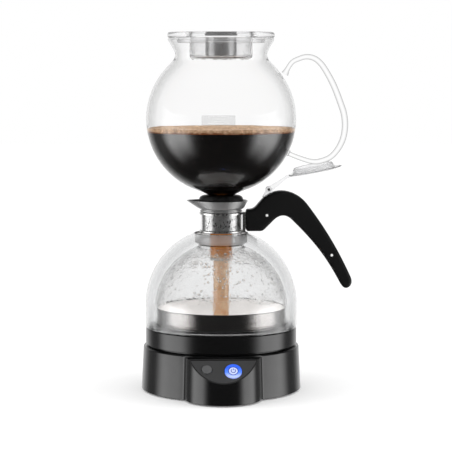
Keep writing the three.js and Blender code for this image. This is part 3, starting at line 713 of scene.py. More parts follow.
def panel_matrix(x, y):
    """Places a solid drawn on the level plane onto the sloping panel, at a point given in plan."""
    z = PANEL_TOP.z - (PANEL_TOP.y - y) * math.tan(PANEL_TILT)
    return Matrix.Translation(Vector((x, y, z)) * MM) @ Matrix.Rotation(PANEL_TILT, 4, "X")


BLOCK_FACES = [(0, 2, 3, 1), (4, 5, 7, 6), (0, 1, 5, 4), (2, 6, 7, 3), (0, 4, 6, 2), (1, 3, 7, 5)]


def slab(low, high):
    """A wide slab parallel to the panel, between two heights above it."""
    x, y = 70 * MM, 70 * MM
    corners = [(sx * x, sy * y, h * MM) for h in (low, high) for sy in (-1, 1) for sx in (-1, 1)]
    matrix = panel_matrix(0, PANEL_TOP.y)
    return loose([matrix @ Vector(c) for c in corners], BLOCK_FACES)


def keep_round(shape, radius):
    """shape less everything within radius of the axis."""
    core = loose_turned([(0, -20), (radius, -20), (radius, 120), (0, 120)], 192)
    return as_object(cut(shape, [core]))


def block_corners(x, y0, y1, z0, z1):
    """The corners of a block, x either side of the middle."""
    return [Vector((sx, sy, sz)) * MM for sz in (z0, z1) for sy in (y0, y1) for sx in (-x, x)]


def box_solid(*sizes):
    return loose(block_corners(*sizes), BLOCK_FACES)


# Each button's place in plan and its radius, in millimetres.
POWER_AT = (10.0, -99.2, 9.1)
WARM_AT = (-18.0, -97.4, 5.5)


def panel_layer(inset, low, high):
    """A layer of the tongue parallel to the panel, inset from its outline and its upper edge."""
    inner = loft([(-inset, wall_scale(5), 5), (-inset, wall_scale(BASE_TOP + 8), BASE_TOP + 8)])
    layer = as_object(cut(inner, [slab(low, high)], "INTERSECT"))
    return as_object(cut(layer, [box_solid(80, PANEL_TOP.y + 0.3 - inset, 120, -50, 150)]))


def button_hole(spot, extra, low, high):
    x, y, radius = spot
    r = radius + extra
    return loose_turned([(0, low), (r, low), (r, high), (0, high)], 64, panel_matrix(x, y))


def make_base():
    levels = []
    for i in range(4):
        a = math.radians(90 * i / 3)
        levels.append((-FOOT_EDGE * (1 - math.sin(a)), 1, BASE_LOW + FOOT_EDGE * (1 - math.cos(a))))
    for i in range(1, 9):
        z = BASE_LOW + FOOT_EDGE + (BASE_TOP - TOP_EDGE - BASE_LOW - FOOT_EDGE) * i / 8
        levels.append((0, wall_scale(z), z))
    for i in range(1, 6):
        a = math.radians(90 * i / 5)
        z = BASE_TOP - TOP_EDGE + TOP_EDGE * math.sin(a)
        levels.append((-TOP_EDGE * (1 - math.cos(a)), wall_scale(z), z))
    housing = loft(levels)
    rim = BASE_R * BASE_TAPER
    cutters = [
        keep_round(slab(0, 60), rim + 0.3),
        keep_round(box_solid(80, -160, 0, PANEL_TOP.z, 105), rim + 0.3),
        loose_turned([(0, WELL_FLOOR), (WELL_R, WELL_FLOOR), (WELL_R, BASE_TOP + 5), (0, BASE_TOP + 5)], 192),
        loose_turned([(0, 20), (CONNECTOR_R, 20), (CONNECTOR_R, WELL_FLOOR + 3), (0, WELL_FLOOR + 3)], 64),
        button_hole(POWER_AT, 0.5, -12, 6),
        button_hole(WARM_AT, 0.5, -12, 6),
        panel_layer(1.1, -2.1, 5),
    ]
    inside = loft([(-2.6, 1, -7.5), (-2.6, wall_scale(31.5), 31.5)])
    cutters.append(as_object(cut(inside, [slab(-4.4, 80)])))
    mesh = bevelled(cut(housing, cutters), 0.35)
    settle("housing_shell", mesh, BASE_BLACK, "base", ["base_housing"], 32, weighted=True)


def make_panel():
    plate = panel_layer(1.4, -1.8, -0.2)
    holes = [button_hole(POWER_AT, 0.4, -5, 5), button_hole(WARM_AT, 0.4, -5, 5)]
    mesh = bevelled(cut(plate, holes), 0.25)
    settle("panel_plate", mesh, PANEL_GREY, "base", ["control_panel"], 32, weighted=True)


def make_buttons():
    spot = panel_matrix(*POWER_AT[:2])
    ring_low, ring_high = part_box("power_button_ring")
    light = ring_light("ring_light", ring_low.z + 0.004, ring_high.z - 0.001)
    ring = rounded(5.4, 9.1, -3.5, 1.1, 0.55, 5)
    turned("power_ring", ring, light, "power_button", ["power_button_ring"], 96, matrix=spot)
    bezel = rounded(4.75, 5.35, -3.5, 0.9, 0.2)
    turned("power_bezel", bezel, NAVY, "power_button", (), 96, matrix=spot)
    cap = rounded_disc(4.7, -3.5, 1.15, 0.4, 4, 0.15)
    turned("power_cap", cap, LENS, "power_button", ["power_button_cap"], 96, matrix=spot)
    make_symbol(spot)
    spot = panel_matrix(*WARM_AT[:2])
    cap = rounded_disc(5.5, -3.5, 0.8, 0.7, 5, 0.45)
    turned("warm_cap", cap, BUTTON_GREY, "warm_button", ["warm_button"], 96, matrix=spot)


def make_symbol(spot):
    """The standby sign: an open ring with a stroke through its gap."""
    radius, width, low, top = 2.35, 0.33, 0.95, 1.2
    gap, steps = 38, 40
    inner, outer = radius - width, radius + width
    vertices = []
    for i in range(steps + 1):
        a = math.radians(90 + gap + (360 - 2 * gap) * i / steps)
        for r, z in ((inner, low), (outer, low), (outer, top), (inner, top)):
            vertices.append(Vector((r * math.cos(a) * MM, r * math.sin(a) * MM, z * MM)))
    faces = capped(steps + 1, 4)
    start = len(vertices)
    vertices += block_corners(width, 0.9, 3.2, low, top)
    faces += [tuple(start + k for k in face) for face in BLOCK_FACES]
    piece("power_symbol", [spot @ v for v in vertices], faces, SYMBOL, "power_button")


make_base()
make_panel()
make_buttons()


# ---- carafe
ring_edge = [
    (78, 36.2), (80.5, 36.2), (80.5, 49.2), (83.2, 49.2), (83.7, 49.5), (83.9, 50), (83.9, 67.2),
    (83.6, 67.8), (83.1, 68), (74.4, 68), (74.4, 65.5), (78, 63),
]
turned("carafe_band", ring_edge, BASE_BLACK, "carafe", ["carafe_ring"], 192, sharp=30)

INNER_R, INNER_Z, INNER_WALL = 73.6, 88.2, 1.6
OUTER_R, OUTER_Z, OUTER_WALL = 84.2, 93.3, 1.8
NECK_R, SHOULDER_R, NECK_TOP = 22.9, 25.4, 196.0


def open_angle(mouth, radius):
    return math.degrees(math.acos(mouth / radius))


def make_domes():
    inner = INNER_R - INNER_WALL
    neck_in = NECK_R - INNER_WALL
    shoulder_in = SHOULDER_R - INNER_WALL
    profile = [(82, 68.3), (82, 69.3), (81.4, 69.9)]
    profile += [(79, 70.3), (76.4, 71.2), (74.8, 73), (74, 76), (73.65, 82)]
    profile += arc(INNER_R, INNER_Z, 0, open_angle(SHOULDER_R + 0.7, INNER_R), 40)
    profile += [(25.6, 158), (25.2, 159.2), (24.6, 159.5), (NECK_R + 0.4, 159.6), (NECK_R, 160)]
    profile += [(NECK_R, NECK_TOP - 0.8), (NECK_R - 0.8, NECK_TOP), (neck_in, NECK_TOP - 0.6)]
    profile += [(neck_in, 158.4), (neck_in + 0.5, 157.9), (shoulder_in - 0.4, 157.8)]
    profile += arc(inner, INNER_Z, open_angle(shoulder_in + 0.5, inner), 0, 40)
    profile += [(72.1, 82), (72.6, 75.5), (74.6, 70), (75.4, 68.3)]
    nodes = ["inner_vessel", "vessel_neck"]
    turned("inner_wall", profile, DEWY, "carafe", nodes, 192, sharp=60)
    outer_in = OUTER_R - OUTER_WALL
    mouth = 29.5
    profile = [(OUTER_R + 0.1, 68.3)]
    profile += arc(OUTER_R, OUTER_Z, 0, open_angle(mouth, OUTER_R), 48)
    profile += [(29.9, 172.5), (29.4, 172.1)]
    profile += arc(outer_in, OUTER_Z, open_angle(mouth, outer_in), 0, 48)
    profile += [(outer_in + 0.1, 68.3)]
    turned("outer_wall", profile, CLEAR_PLASTIC, "carafe", ["outer_dome"], 192, sharp=60)


def make_pot():
    """The pot's drawn wall with its rolled rim, and the lining, painted pale and glowing, that shows the
    steam in it.
    """
    wall = [
        (0, 60), (69.5, 60), (70.8, 60.5), (71.4, 61.8), (71.5, 64), (71.5, 88.8), (71.9, 89.3), (71.6, 89.9),
        (70.9, 89.9), (70.8, 88.9), (70.8, 63.4), (70.2, 61.6), (68.4, 60.9), (0, 60.8),
    ]
    turned("pot_bowl", wall, POT_STEEL, "carafe", ["heater_pot"], 192, sharp=50)
    inside = [(0, 60.85), (68.4, 60.95), (70.1, 61.7), (70.7, 63.4), (70.7, 88.8), (70.5, 88.8), (70.5, 63.4)]
    inside += [(70, 61.9), (68.4, 61.3), (0, 61.2)]
    turned("pot_lining", inside, POT_INSIDE, "carafe", (), 192, sharp=50)


def draw_spout(point):
    """Draws the lip out into the pouring spout on the -X side."""
    throat, lip, pull_out = 0.1995, 0.2079, 0.0086
    rise = (point.z - throat) / (lip - throat)
    r = math.hypot(point.x, point.y)
    if rise <= 0 or r == 0:
        return point
    from_spout = math.acos(max(-1, min(1, -point.x / r)))
    pull = pull_out * min(rise, 1) * math.exp(-((from_spout / 0.42) ** 2))
    return Vector((point.x * (1 + pull / r), point.y * (1 + pull / r), point.z + 0.03 * pull))


def make_collar():
    outside = curve_through([(22.2, 197.7), (22.7, 198.7), (25.2, 199.9), (27.4, 203.6), (29.5, 207.6)], 6)
    inside = curve_through([(28.7, 207.9), (26.5, 204), (24.2, 200.7), (21.2, 198.6), (20.2, 197)], 6)
    profile = [(21, 173), (21, 196.2), (23.3, 196.25), (23.5, 196.7), (23.3, 197.2), (22.3, 197.5)]
    profile += outside + [(29.6, 207.9), (29.2, 208.2)] + inside + [(20.2, 173)]
    turned("pour_collar", profile, SLEEVE_STEEL, "carafe", ["spout_collar"], 192, draw_spout, 50)


def make_neck():
    profile = [(23.2, 159.9), (26.8, 159.9), (28, 161), (28.9, 162.4), (29, 163), (29, 170.4)]
    profile += [(28.4, 171.2), (27.6, 171.3), (23.2, 171.3)]
    turned("neck_band", profile, MISTED, "carafe", ["neck_ring"], 160, sharp=50)


make_domes()
make_pot()
make_collar()
make_neck()


# ---- carafe handle
HANDLE_LINES = [
    ((27.5, 198.2), (29.2, 198.3), (30, 198.3)),
    ((35, 198.4), (37, 199.4), (41.3, 204.9)),
    ((43.3, 207.2), (45.2, 209.4), (47.1, 211.4)),
    ((54, 216.5), (60, 218.9), (68, 218.8)),
    ((78.5, 218.3), (88.5, 212.5), (94.5, 205.2)),
    ((112, 182.5), (128.5, 157), (143.9, 123.2)),
    ((146.5, 117.5), (145, 112.5), (140.6, 110.7)),
    ((137.4, 109.6), (134.9, 111.5), (133, 115)),
    ((119, 141.5), (105.5, 160.5), (77.5, 187.6)),
    ((71, 193.2), (64.5, 192.8), (57.6, 186)),
    ((55, 183.3), (52.5, 180.8), (50, 178.3)),
    ((47, 175.2), (45.5, 174.2), (42.5, 174.2)),
    ((38.5, 174.2), (34.5, 174.2), (30.5, 174.2)),
    ((28.2, 174.2), (27.4, 175.2), (27.4, 177.8)),
    ((27.4, 183.7), (27.4, 189.6), (27.4, 195.6)),
]


def bezier_outline(lines, steps=12):
    """Points along a closed chain of cubic curves, each starting where the one before it ends."""
    points = []
    a = lines[-1][2]
    for b, c, d in lines:
        for i in range(steps):
            t = i / steps
            u = 1 - t
            points.append(
                tuple(u**3 * a[k] + 3 * u * u * t * b[k] + 3 * u * t * t * c[k] + t**3 * d[k] for k in (0, 1))
            )
        a = d
    return points


def half_of(mesh, side, gap=0.0001):
    """The part of a mesh on one side of the XZ plane, closed at the cut."""
    work = bmesh.new()
    work.from_mesh(mesh)
    bmesh.ops.remove_doubles(work, verts=work.verts, dist=1e-7)
    bmesh.ops.bisect_plane(
        work,
        geom=work.verts[:] + work.edges[:] + work.faces[:],
        plane_co=(0, side * gap, 0),
        plane_no=(0, -side, 0),
        clear_outer=True,
    )
    edges = [e for e in work.edges if e.is_boundary]
    bmesh.ops.holes_fill(work, edges=edges)
    done = bpy.data.meshes.new("half")
    work.to_mesh(done)
    work.free()
    return done


def make_handle():
    whole = flat_outline_solid(bezier_outline(HANDLE_LINES), 9.5, 3.6, 7)
    for side, word in ((1, "rear"), (-1, "front")):
        mesh = half_of(whole, side)
        nodes = [f"handle_shell_{word}"]
        settle(f"grip_{word}", mesh, HANDLE_BLACK, "carafe", nodes, 50, True)
    for i, (x, z) in enumerate([(50.4, 192), (122.5, 147.5)]):
        turn = lying_at(Vector((x, 0, z)) * MM)
        pin = rounded_disc(1.5, -9.7, 9.7, 0.35)
        turned(f"grip_pin_{i + 1}", pin, PIN_END, "carafe", [f"handle_pin_{i + 1}"], 48, matrix=turn)


def make_strap():
    """Two bands round the neck and the upright plate that the handle is hooked onto."""
    for i, z in enumerate((173, 193)):
        turned(f"neck_strap_{i + 1}", rounded(23.2, 24.1, z, z + 2.2, 0.25, 3), BRIGHT, "carafe",
               ["handle_strap"] if i == 0 else (), 160)
    outline = [(23.7, 172.9), (27, 172.9), (27, 195.3), (23.7, 195.3)]
    mesh = flat_outline_solid(outline, 4.5, 0.4, 3)
    settle("strap_plate", mesh, BRIGHT, "carafe", (), 50, True)


make_handle()
make_strap()


# ---- flip lid
pin_low, pin_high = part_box("lid_hinge_pin")
HINGE = (pin_low + pin_high) / 2 - Vector((0, 0, LIFT * MM))
HINGE_X, HINGE_Z = 52.8, 220.2  # the centre of the rounded ends that hold the pin
OPEN_ANGLE = math.radians(169.2)
LID_LOW, LID_R = 208.6, 28.4
open_turn = Matrix.Rotation(OPEN_ANGLE, 4, "Y")
open_turn = Matrix.Translation(HINGE) @ open_turn @ Matrix.Translation(-HINGE)


def set_skirt(point):
    """Brings the skirt, drawn 6 mm deep, to 5.8 mm, a micrometre or two less on the hinge side."""
    base = LID_LOW * MM
    if point.z > base - 0.001:
        return point
    share = (base - point.z) / 0.006
    depth = (5.8 - 0.072 * point.x) * MM
    return Vector((point.x, point.y, base - depth * share))


def make_flip_lid():
    low = LID_LOW
    outline = arc(LID_R, 0, -158, 158, 120)
    tip = (-31.5, 0)
    outline += hollow(outline[-1], (-31.5, 3), tip, 6) + [tip] + hollow(tip, (-31.5, -3), outline[0], 6)
    levels = [(0.985, low), (1.0, low + 0.35), (1.0, low + 1.05), (0.985, low + 1.4), (0.5, low + 1.65)]
    disc = stacked([(outline, scale, z) for scale, z in levels])
    skirt = [(24.4, low + 0.3), (21.8, low - 5.6), (21.2, low - 6), (20.4, low - 5.7), (23, low + 0.3)]
    skirt = loose(*revolved(skirt, 120, set_skirt))
    arm = [(24, low + 0.3), (31, low + 0.3)]
    arm += hollow((31, low + 0.3), (40, 213), (51.6, 216.9), 10) + [(51.6, 216.9)]
    arm += arc(3.5, HINGE_Z, -110, 110, 14, HINGE_X)
    arm += hollow(arm[-1], (40, 217.5), (31, low + 3.4), 10) + [(31, low + 3.4), (24, low + 2.4)]
    arm_object = as_object(flat_outline_solid(arm, 3, 0.6, 3))
    bore = loose_turned([(0, -10), (1.8, -10), (1.8, 10), (0, 10)], 48, lying_at(HINGE))
    joined = as_object(cut(disc, [skirt, arm_object], "UNION"))
    mesh = cut(joined, [bore])
    mesh.transform(open_turn)
    settle("pour_lid", mesh, LID_PLASTIC, "flip_lid", ["flip_lid"], 35, True)


def make_bracket():
    """Two rounded ears on a foot let into the handle."""
    parts = [flat_outline_solid([(46, 207.2), (56.4, 207.2), (56.4, 213), (46, 213)], 5.4, 0.5, 3)]
    outline = [(46.2, 212.6), (56.3, 212.6)] + arc(3.6, HINGE_Z, -6, 197, 12, HINGE_X)
    for side in (-1, 1):
        ear = flat_outline_solid(outline, 1.05, 0.4, 3)
        ear.transform(Matrix.Translation((0, side * 4.4 * MM, 0)))
        parts.append(ear)
    objects = [as_object(mesh) for mesh in parts]
    mesh = cut(objects[0], objects[1:], "UNION")
    settle("hinge_ears", mesh, LID_PLASTIC, "carafe", ["lid_bracket"], 35, True)
    rod = rounded_disc(1.5, -5.8, 5.8, 0.3)
    turned("hinge_rod", rod, BRIGHT, "carafe", ["lid_hinge_pin"], 48, matrix=lying_at(HINGE))


make_flip_lid()
make_bracket()


# ---- glass funnel
BOWL_R, BOWL_Z, BOWL_WALL = 82.7, 298.1, 2.0
COFFEE_Z = 288.4
IN_GLASS = 0.4  # contents reach this far into the glass round them, so no film of air shows
TUBE_R = 12.3


def bowl_side(inset):
    """The bowl's side from the outlet cone to the neck's rim, moved inwards by inset."""
    sphere = BOWL_R - inset
    tube = TUBE_R - inset
    foot = [(tube, 209.5), (tube + 0.5, 211.6)]
    foot += [(14.4 - inset, 214.3 + inset * 0.6), (19.6 - inset * 0.6, 217 + inset)]
    start = -math.degrees(math.acos((27 - inset * 0.4) / sphere))
    end = math.degrees(math.acos((62 - inset * 0.6) / sphere))
    side = curve_through(foot, 5)[:-1]
    side += arc(sphere, BOWL_Z, start, end, 64)
    neck = [side[-1], (55 - inset, 360.2), (52 - inset, 364.2), (50.8 - inset, 368), (51 - inset, 371)]
    neck += [(54.4 - inset, 378), (57.2 - inset, 382.8), (58.3 - inset, 385)]
    side += curve_through(neck, 8)[1:]
    return side


def make_bowl():
    outside = bowl_side(0)
    inside = bowl_side(BOWL_WALL)
    rim = arc(1.15, 385.6, 0, 180, 8, 57.4)
    profile = [(TUBE_R, 144.4), *outside, *rim, *reversed(inside)]
    profile += [(TUBE_R - BOWL_WALL, 144.4), (TUBE_R - 1, 144.2)]
    turned("bowl_glass", profile, GLASS, "funnel",
           ["funnel_bowl", "funnel_tube", "funnel_rim"], 224, sharp=70)


ROD_LINE = [
    (70.2, 347.6), (77.6, 359.8), (86.2, 364.6), (94.7, 366.6), (103.3, 364.6), (111, 358), (118.7, 346.1),
    (125.6, 332.4), (132.2, 315.3), (136, 303.4), (137.2, 289.8), (134.9, 276), (128.9, 264.1),
    (120.4, 255.5), (108.5, 251.2), (99.9, 251.2), (89.6, 254.1), (78.3, 258.4), (74.6, 260.2),
]


def make_rod():
    path = [Vector((x, 0, z)) * MM for x, z in curve_through(ROD_LINE, 16)]

    def radius_at(t):
        flare = 1.5 * math.exp(-((t / 0.018) ** 2)) + 1.5 * math.exp(-(((1 - t) / 0.018) ** 2))
        return (2.5 + 0.95 * math.sin(math.pi * min(1, t * 1.05)) ** 1.5 + flare) * MM

    vertices, faces = swept(path, radius_at, 64)
    piece("rod_handle", vertices, faces, ROD_GLASS, "funnel", ["funnel_handle"], 70)


def make_stem():
    turned("stem_tube", rounded(7.2, 8.6, 74, 158, 0.5, 3), GLASS, "funnel", ["funnel_stem"], 96)
    bush = rounded(8.8, 12.3, 141.2, 144, 0.5, 3)
    turned("stem_collar", bush, PALE, "funnel", ["stem_bush"], 96)
    profile = [
        (12.6, 188), (18.8, 188), (19.6, 188.8), (19.7, 192), (19.1, 192.6), (19.1, 193.4), (19.8, 194),
        (19.9, 199.8),
    ]
    shoulder = [
        (19.9, 199.8), (22.4, 204.4), (24.1, 207.9), (24.3, 209.6), (23.4, 211.9), (21.4, 213.3),
        (19.4, 213.8), (16.2, 213.7),
    ]
    profile += curve_through(shoulder, 5)[1:] + [(12.6, 210.6)]
    turned("gasket_cone", profile, RUBBER, "funnel", ["funnel_gasket"], 128, sharp=45)


def make_coffee():
    """The bowl's coffee up to its froth, and what stands in the stem."""
    inset = BOWL_WALL - IN_GLASS
    sphere = BOWL_R - inset
    level = math.degrees(math.asin((COFFEE_Z - 4.6 - BOWL_Z) / sphere))
    start = -math.degrees(math.acos((27 - inset * 0.4) / sphere))
    body = [(0, 210.2)]
    foot = [(TUBE_R - inset, 210.2), (12.6 - inset, 212), (14.4 - inset, 215.6), (19.6 - inset * 0.6, 219)]
    body += curve_through(foot, 5)[:-1]
    body += arc(sphere, BOWL_Z, start, level, 48)
    body += [(0, COFFEE_Z - 4.6)]
    turned("coffee_fill", body, COFFEE, "funnel", (), 192, sharp=50)
    rim = sphere * math.cos(math.radians(level))
    upper = math.sqrt(sphere**2 - (COFFEE_Z - BOWL_Z) ** 2)
    froth = [(0, COFFEE_Z - 4.5), (rim, COFFEE_Z - 4.5), (upper, COFFEE_Z - 0.1)]
    froth += [(upper - 0.5, COFFEE_Z + 0.25), (upper - 1.6, COFFEE_Z), (0, COFFEE_Z - 0.3)]

    def ripple(point):
        if point.z < (COFFEE_Z - 1) * MM:
            return point
        a = math.atan2(point.y, point.x)
        lift = 0.25 * math.sin(5 * a + 1) + 0.18 * math.sin(13 * a) + 0.1 * math.sin(29 * a + 2)
        return point + Vector((0, 0, lift * 0.6 * MM))

    turned("froth_layer", froth, CREMA, "funnel", (), 224, ripple, 60)
    turned("stem_fill", rounded_disc(7.5, 74.5, 157, 0.6), STEM_BREW, "funnel", (), 96)
    turned("throat_fill", rounded_disc(10.6, 144.6, 209.8, 0.6), STEM_BREW, "funnel", (), 96)


MARK_AZIMUTH = -3.6  # degrees from the panel's front; negative is to the left


def make_marks():
    """A plain frosted patch with level ticks, fired onto the front of the bowl."""
    centre = Vector((0, 0, BOWL_Z * MM))

    def patches(name, material, proud, spots):
        vertices = []
        faces = []
        radius = (BOWL_R + proud) * MM
        rows, steps = 4, 16
        for azimuth, low, wide, tall in spots:
            start = len(vertices)
            for j in range(rows + 1):
                up = (low + tall * j / rows - BOWL_Z) * MM
                flat = math.sqrt(radius**2 - up**2)
                for i in range(steps + 1):
                    a = math.radians(azimuth + wide * (i / steps - 0.5))
                    vertices.append(centre + Vector((flat * math.sin(a), -flat * math.cos(a), up)))
            for j in range(rows):
                for i in range(steps):
                    b = start + j * (steps + 1) + i
                    faces.append((b, b + 1, b + steps + 2, b + steps + 1))
        piece(name, vertices, faces, material, "funnel", (), 60)

    patches("mark_patch", PATCH, 0.05, [(MARK_AZIMUTH, 293.8, 25, 10.6)])
    ticks = [(MARK_AZIMUTH, 295.6 + 2.4 * i, 16 if i % 3 == 0 else 9, 0.6) for i in range(4)]
    patches("level_marks", MARKS, 0.09, ticks)


make_bowl()
make_rod()
make_stem()
make_coffee()
make_marks()


# ---- funnel lid
CUP_R, CUP_FLOOR = 34.6, 364.6  # the lid's sunk cup
CAP_LOW, CAP_TOP = 389.3, 390.9


def make_lid():
    cup, low = CUP_R, CUP_FLOOR
    profile = [(0, low)] + arc(3, low + 3, -90, 0, 6, cup - 3)
    profile += [(cup, 385.4), (cup + 0.5, 386.8), (cup + 1.6, 387.2), (47, 387.2), (47, 382.6), (47.8, 382.1)]
    profile += [(48.6, 382.6), (48.9, 387.2), (57.8, 387.2), (58.6, 388), (58.8, 388.8), (58.8, 391.6)]
    profile += [(58.2, 392.9), (56.8, 393.4), (35.2, 393.4), (34.1, 393), (33.3, 391.8), (33, 390)]
    profile += [(33, low + 4.4)]
    profile += arc(2.6, low + 4.2, -15, -90, 5, cup - 4.2) + [(0, low + 1.6)]
    turned("lid_glass", profile, LID_PLASTIC, "bowl_lid", ["lid_shell"], 192, sharp=45)
    knob = [(0, 387.8), (16.2, 387.8), (16.2, 366.6), (17.2, 366.6), (17.4, 367), (17.4, 388.3), (16.8, 389)]
    knob += [(0, 389)]
    turned("knob_sleeve", knob, KNOB_STEEL, "bowl_lid", ["lid_knob"], 128, sharp=40)
    cap = rounded_disc(17.9, CAP_LOW, CAP_TOP, 0.5, 4, 0.4)
    turned("knob_cap", cap, RUBBER, "bowl_lid", ["lid_cap"], 128, sharp=40)


make_lid()


# ---- condensation
def bead_mesh(spots):
    """Flattened drops of water, each given as centre, outward normal, radius and depth."""
    vertices = []
    faces = []
    rings, sides = 4, 10
    for centre, normal, r, depth in spots:
        turn = normal.to_track_quat("Z", "Y").to_matrix()
        start = len(vertices)
        for i in range(rings):
            a = math.pi / 2 * i / rings
            for j in range(sides):
                b = 2 * math.pi * j / sides
                flat = r * math.cos(a)
                local = Vector((flat * math.cos(b), flat * math.sin(b), depth * math.sin(a)))
                vertices.append(centre + turn @ local)
        vertices.append(centre + turn @ Vector((0, 0, depth)))
        vertices.append(centre)
        top = start + rings * sides
        faces += bands(rings, sides, start)
        for j in range(sides):
            k = (j + 1) % sides
            faces.append((top - sides + j, top - sides + k, top))
            faces.append((start + k, start + j, top + 1))
    return vertices, faces


DOME_DROPS, CUP_WALL_DROPS, CUP_FLOOR_DROPS = 900, 120, 60
STAND_OFF = 0.05  # how far a drop's centre stands off the wall it hangs on, in millimetres


def make_dew():
    spots = []
    sphere = INNER_R - INNER_WALL - STAND_OFF
    for _ in range(DOME_DROPS):
        rise = math.radians(rng.triangular(6, 69, 50))
        a = rng.uniform(0, 2 * math.pi)
        out = Vector((math.cos(rise) * math.cos(a), math.cos(rise) * math.sin(a), math.sin(rise)))
        centre = Vector((0, 0, INNER_Z * MM)) + out * sphere * MM
        r = rng.choice((0.5, 0.6, 0.8, 1.1, 1.6)) * rng.uniform(0.8, 1.2) * MM
        spots.append((centre, -out, r, r * 0.8))
    vertices, faces = bead_mesh(spots)
    piece("dome_dew", vertices, faces, WATER, "carafe", (), 60)
    spots = []
    for _ in range(CUP_WALL_DROPS):
        a = rng.uniform(0, 2 * math.pi)
        z = rng.uniform(366.5, 384)
        out = Vector((math.cos(a), math.sin(a), 0))
        r = rng.uniform(0.35, 1.0) * MM
        spots.append((out * (CUP_R + STAND_OFF) * MM + Vector((0, 0, z * MM)), out, r, r * 0.5))
    for _ in range(CUP_FLOOR_DROPS):
        a = rng.uniform(0, 2 * math.pi)
        r_at = rng.uniform(4, 32) * MM
        r = rng.uniform(0.5, 1.3) * MM
        centre = Vector((r_at * math.cos(a), r_at * math.sin(a), (CUP_FLOOR - STAND_OFF) * MM))
        spots.append((centre, Vector((0, 0, -1)), r, r * 0.8))
    vertices, faces = bead_mesh(spots)
    piece("lid_dew", vertices, faces, WATER, "bowl_lid", (), 60)


make_dew()


# ---- CAD nodes that keep their shape
KEPT = {
    BASE_BLACK: ["base_cover", "base_connector", "power_relay", "carafe_underplate", "carafe_socket",
                 "filter_plate"],
    FOOT_RUBBER: [f"base_foot_{i}" for i in range(1, 5)],
    RUBBER: ["cord_gland", "pot_seal", "power_switch", "warm_switch"],
    BRIGHT: [f"base_screw_{i}" for i in range(1, 5)] + ["filter_spring", "filter_wire", "filter_bead",
                                                        "heat_spreader", "heating_element", "thermostat"],
    BRASS: ["connector_pin", "connector_ring", "socket_contact"],
    BOARD: ["panel_board", "power_board"],
    CLOTH: ["filter_cloth"],
}
for look, names in KEPT.items():
    for name in names:
        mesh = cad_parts[name].data
        mesh.materials.clear()
        mesh.materials.append(look)


# ---- floor, light and surroundings
def make_floor():
    """A white sheet; the object mirrors and refracts the studio's own surroundings in its place."""
    n = Nodes("floor")
    shade = n.blend(n.spread(n.noise(3, 2), 0, 1), (0.9, 0.9, 0.9), (0.91, 0.91, 0.91))
    n.set(Base_Color=shade, Roughness=n.spread(n.noise(5, 2), 0.5, 0.55), Specular_IOR_Level=0.0)
    n.set(Emission_Color=(1, 1, 1, 1), Emission_Strength=0.14)
    sheet = flat_sheet("floor", n.material, -6, 6, -6, 6, 0)
    sheet.visible_glossy = False
    sheet.visible_transmission = False


def flat_sheet(name, material, x0, x1, y0, y1, z):
    """A level sheet standing for part of the studio."""
    mesh = bpy.data.meshes.new(name)
    mesh.from_pydata([(x0, y0, z), (x1, y0, z), (x1, y1, z), (x0, y1, z)], [], [(0, 1, 2, 3)])
    mesh.materials.append(material)
    sheet = as_object(mesh, name)
    return sheet


def make_softbox(name, azimuth, distance, height, width, tall, watts):
    """A tall soft light standing beside the object, azimuth 0 being the camera's side."""
    data = bpy.data.lights.new(name, "AREA")
    data.shape = "RECTANGLE"
    data.size = width
    data.size_y = tall
    data.energy = watts
    lamp = bpy.data.objects.new(name, data)
    bpy.context.scene.collection.objects.link(lamp)
    a = math.radians(azimuth)
    lamp.location = (distance * math.sin(a), -distance * math.cos(a), height)
    lamp.rotation_euler = (Vector((0, 0, 0.2)) - lamp.location).to_track_quat("-Z", "Y").to_euler()
    lamp.visible_camera = False
    lamp.visible_glossy = False
    lamp.visible_transmission = False


BOX_LIGHT = 3.3  # how much brighter than the white backdrop the side boxes mirror


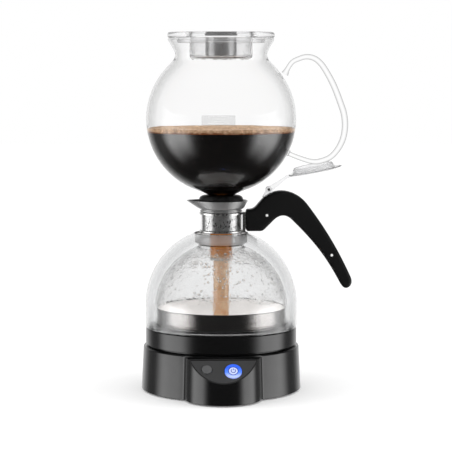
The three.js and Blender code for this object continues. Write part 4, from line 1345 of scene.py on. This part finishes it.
def make_world():
    """White all round to the eye; what mirrors in the object is darker on the camera's side."""
    world = bpy.data.worlds.new("studio")
    bpy.context.scene.world = world
    graph = Graph(world)
    add, calc, times = graph.add, graph.calc, graph.times
    back = graph.tree.nodes["Background"]

    def ramp(value, start, end, low, high):
        return graph.spread(value, low, high, start, end, interpolation_type="SMOOTHSTEP")

    def mix(factor, a, b):
        return add("ShaderNodeMix", {0: factor, 2: a, 3: b}, data_type="FLOAT").outputs[0]

    direction = add("ShaderNodeTexCoord").outputs["Generated"]
    up = add("ShaderNodeSeparateXYZ", {"Vector": direction}).outputs["Z"]
    level = add("ShaderNodeVectorMath", {0: direction, 1: (1, 1, 0)}, operation="MULTIPLY").outputs["Vector"]
    level = add("ShaderNodeVectorMath", {0: level}, operation="NORMALIZE").outputs["Vector"]
    away = add("ShaderNodeSeparateXYZ", {"Vector": level}).outputs["Y"]
    depth = add("ShaderNodeSeparateXYZ", {"Vector": direction}).outputs["Y"]
    behind = ramp(depth, 0.55, 0.97, 0.05, 1.0)
    above = ramp(up, 0.55, 1.0, 0.0, 0.55)
    rise = ramp(away, -0.84, -0.4, 0.0, 1.0)
    side = times(times(rise, rise), ramp(away, 0.05, 0.42, 1.0, 0.06))
    tall = times(ramp(up, -0.85, -0.35, 0.0, 1.0), ramp(up, -0.06, 0.05, 1.0, 0.0))
    boxes = times(times(side, tall), BOX_LIGHT)
    mirrored = calc("MAXIMUM", calc("MAXIMUM", behind, above), boxes)
    through = ramp(depth, -0.6, 0.45, 0.8, 1.0)
    path = add("ShaderNodeLightPath")
    light = mix(path.outputs["Is Transmission Ray"], 1.0, through)
    light = mix(calc("GREATER_THAN", path.outputs["Glossy Depth"], 0.5), light, mirrored)
    light = mix(path.outputs["Is Diffuse Ray"], light, 1.0)
    graph.tree.links.new(light, back.inputs["Color"])
    back.inputs["Strength"].default_value = 1.0
    world.cycles.sampling_method = "NONE"


make_floor()
for name, azimuth in (("left_box", -80), ("right_box", 80)):
    make_softbox(name, azimuth, distance=1.0, height=0.5, width=0.75, tall=1.5, watts=4)
make_world()

scene = bpy.context.scene
scene.view_settings.view_transform = "Standard"
BOUNCES = 32  # light crosses many nested glass walls
scene.cycles.max_bounces = BOUNCES
scene.cycles.transmission_bounces = BOUNCES
scene.cycles.transparent_max_bounces = BOUNCES

bpy.context.view_layer.update()
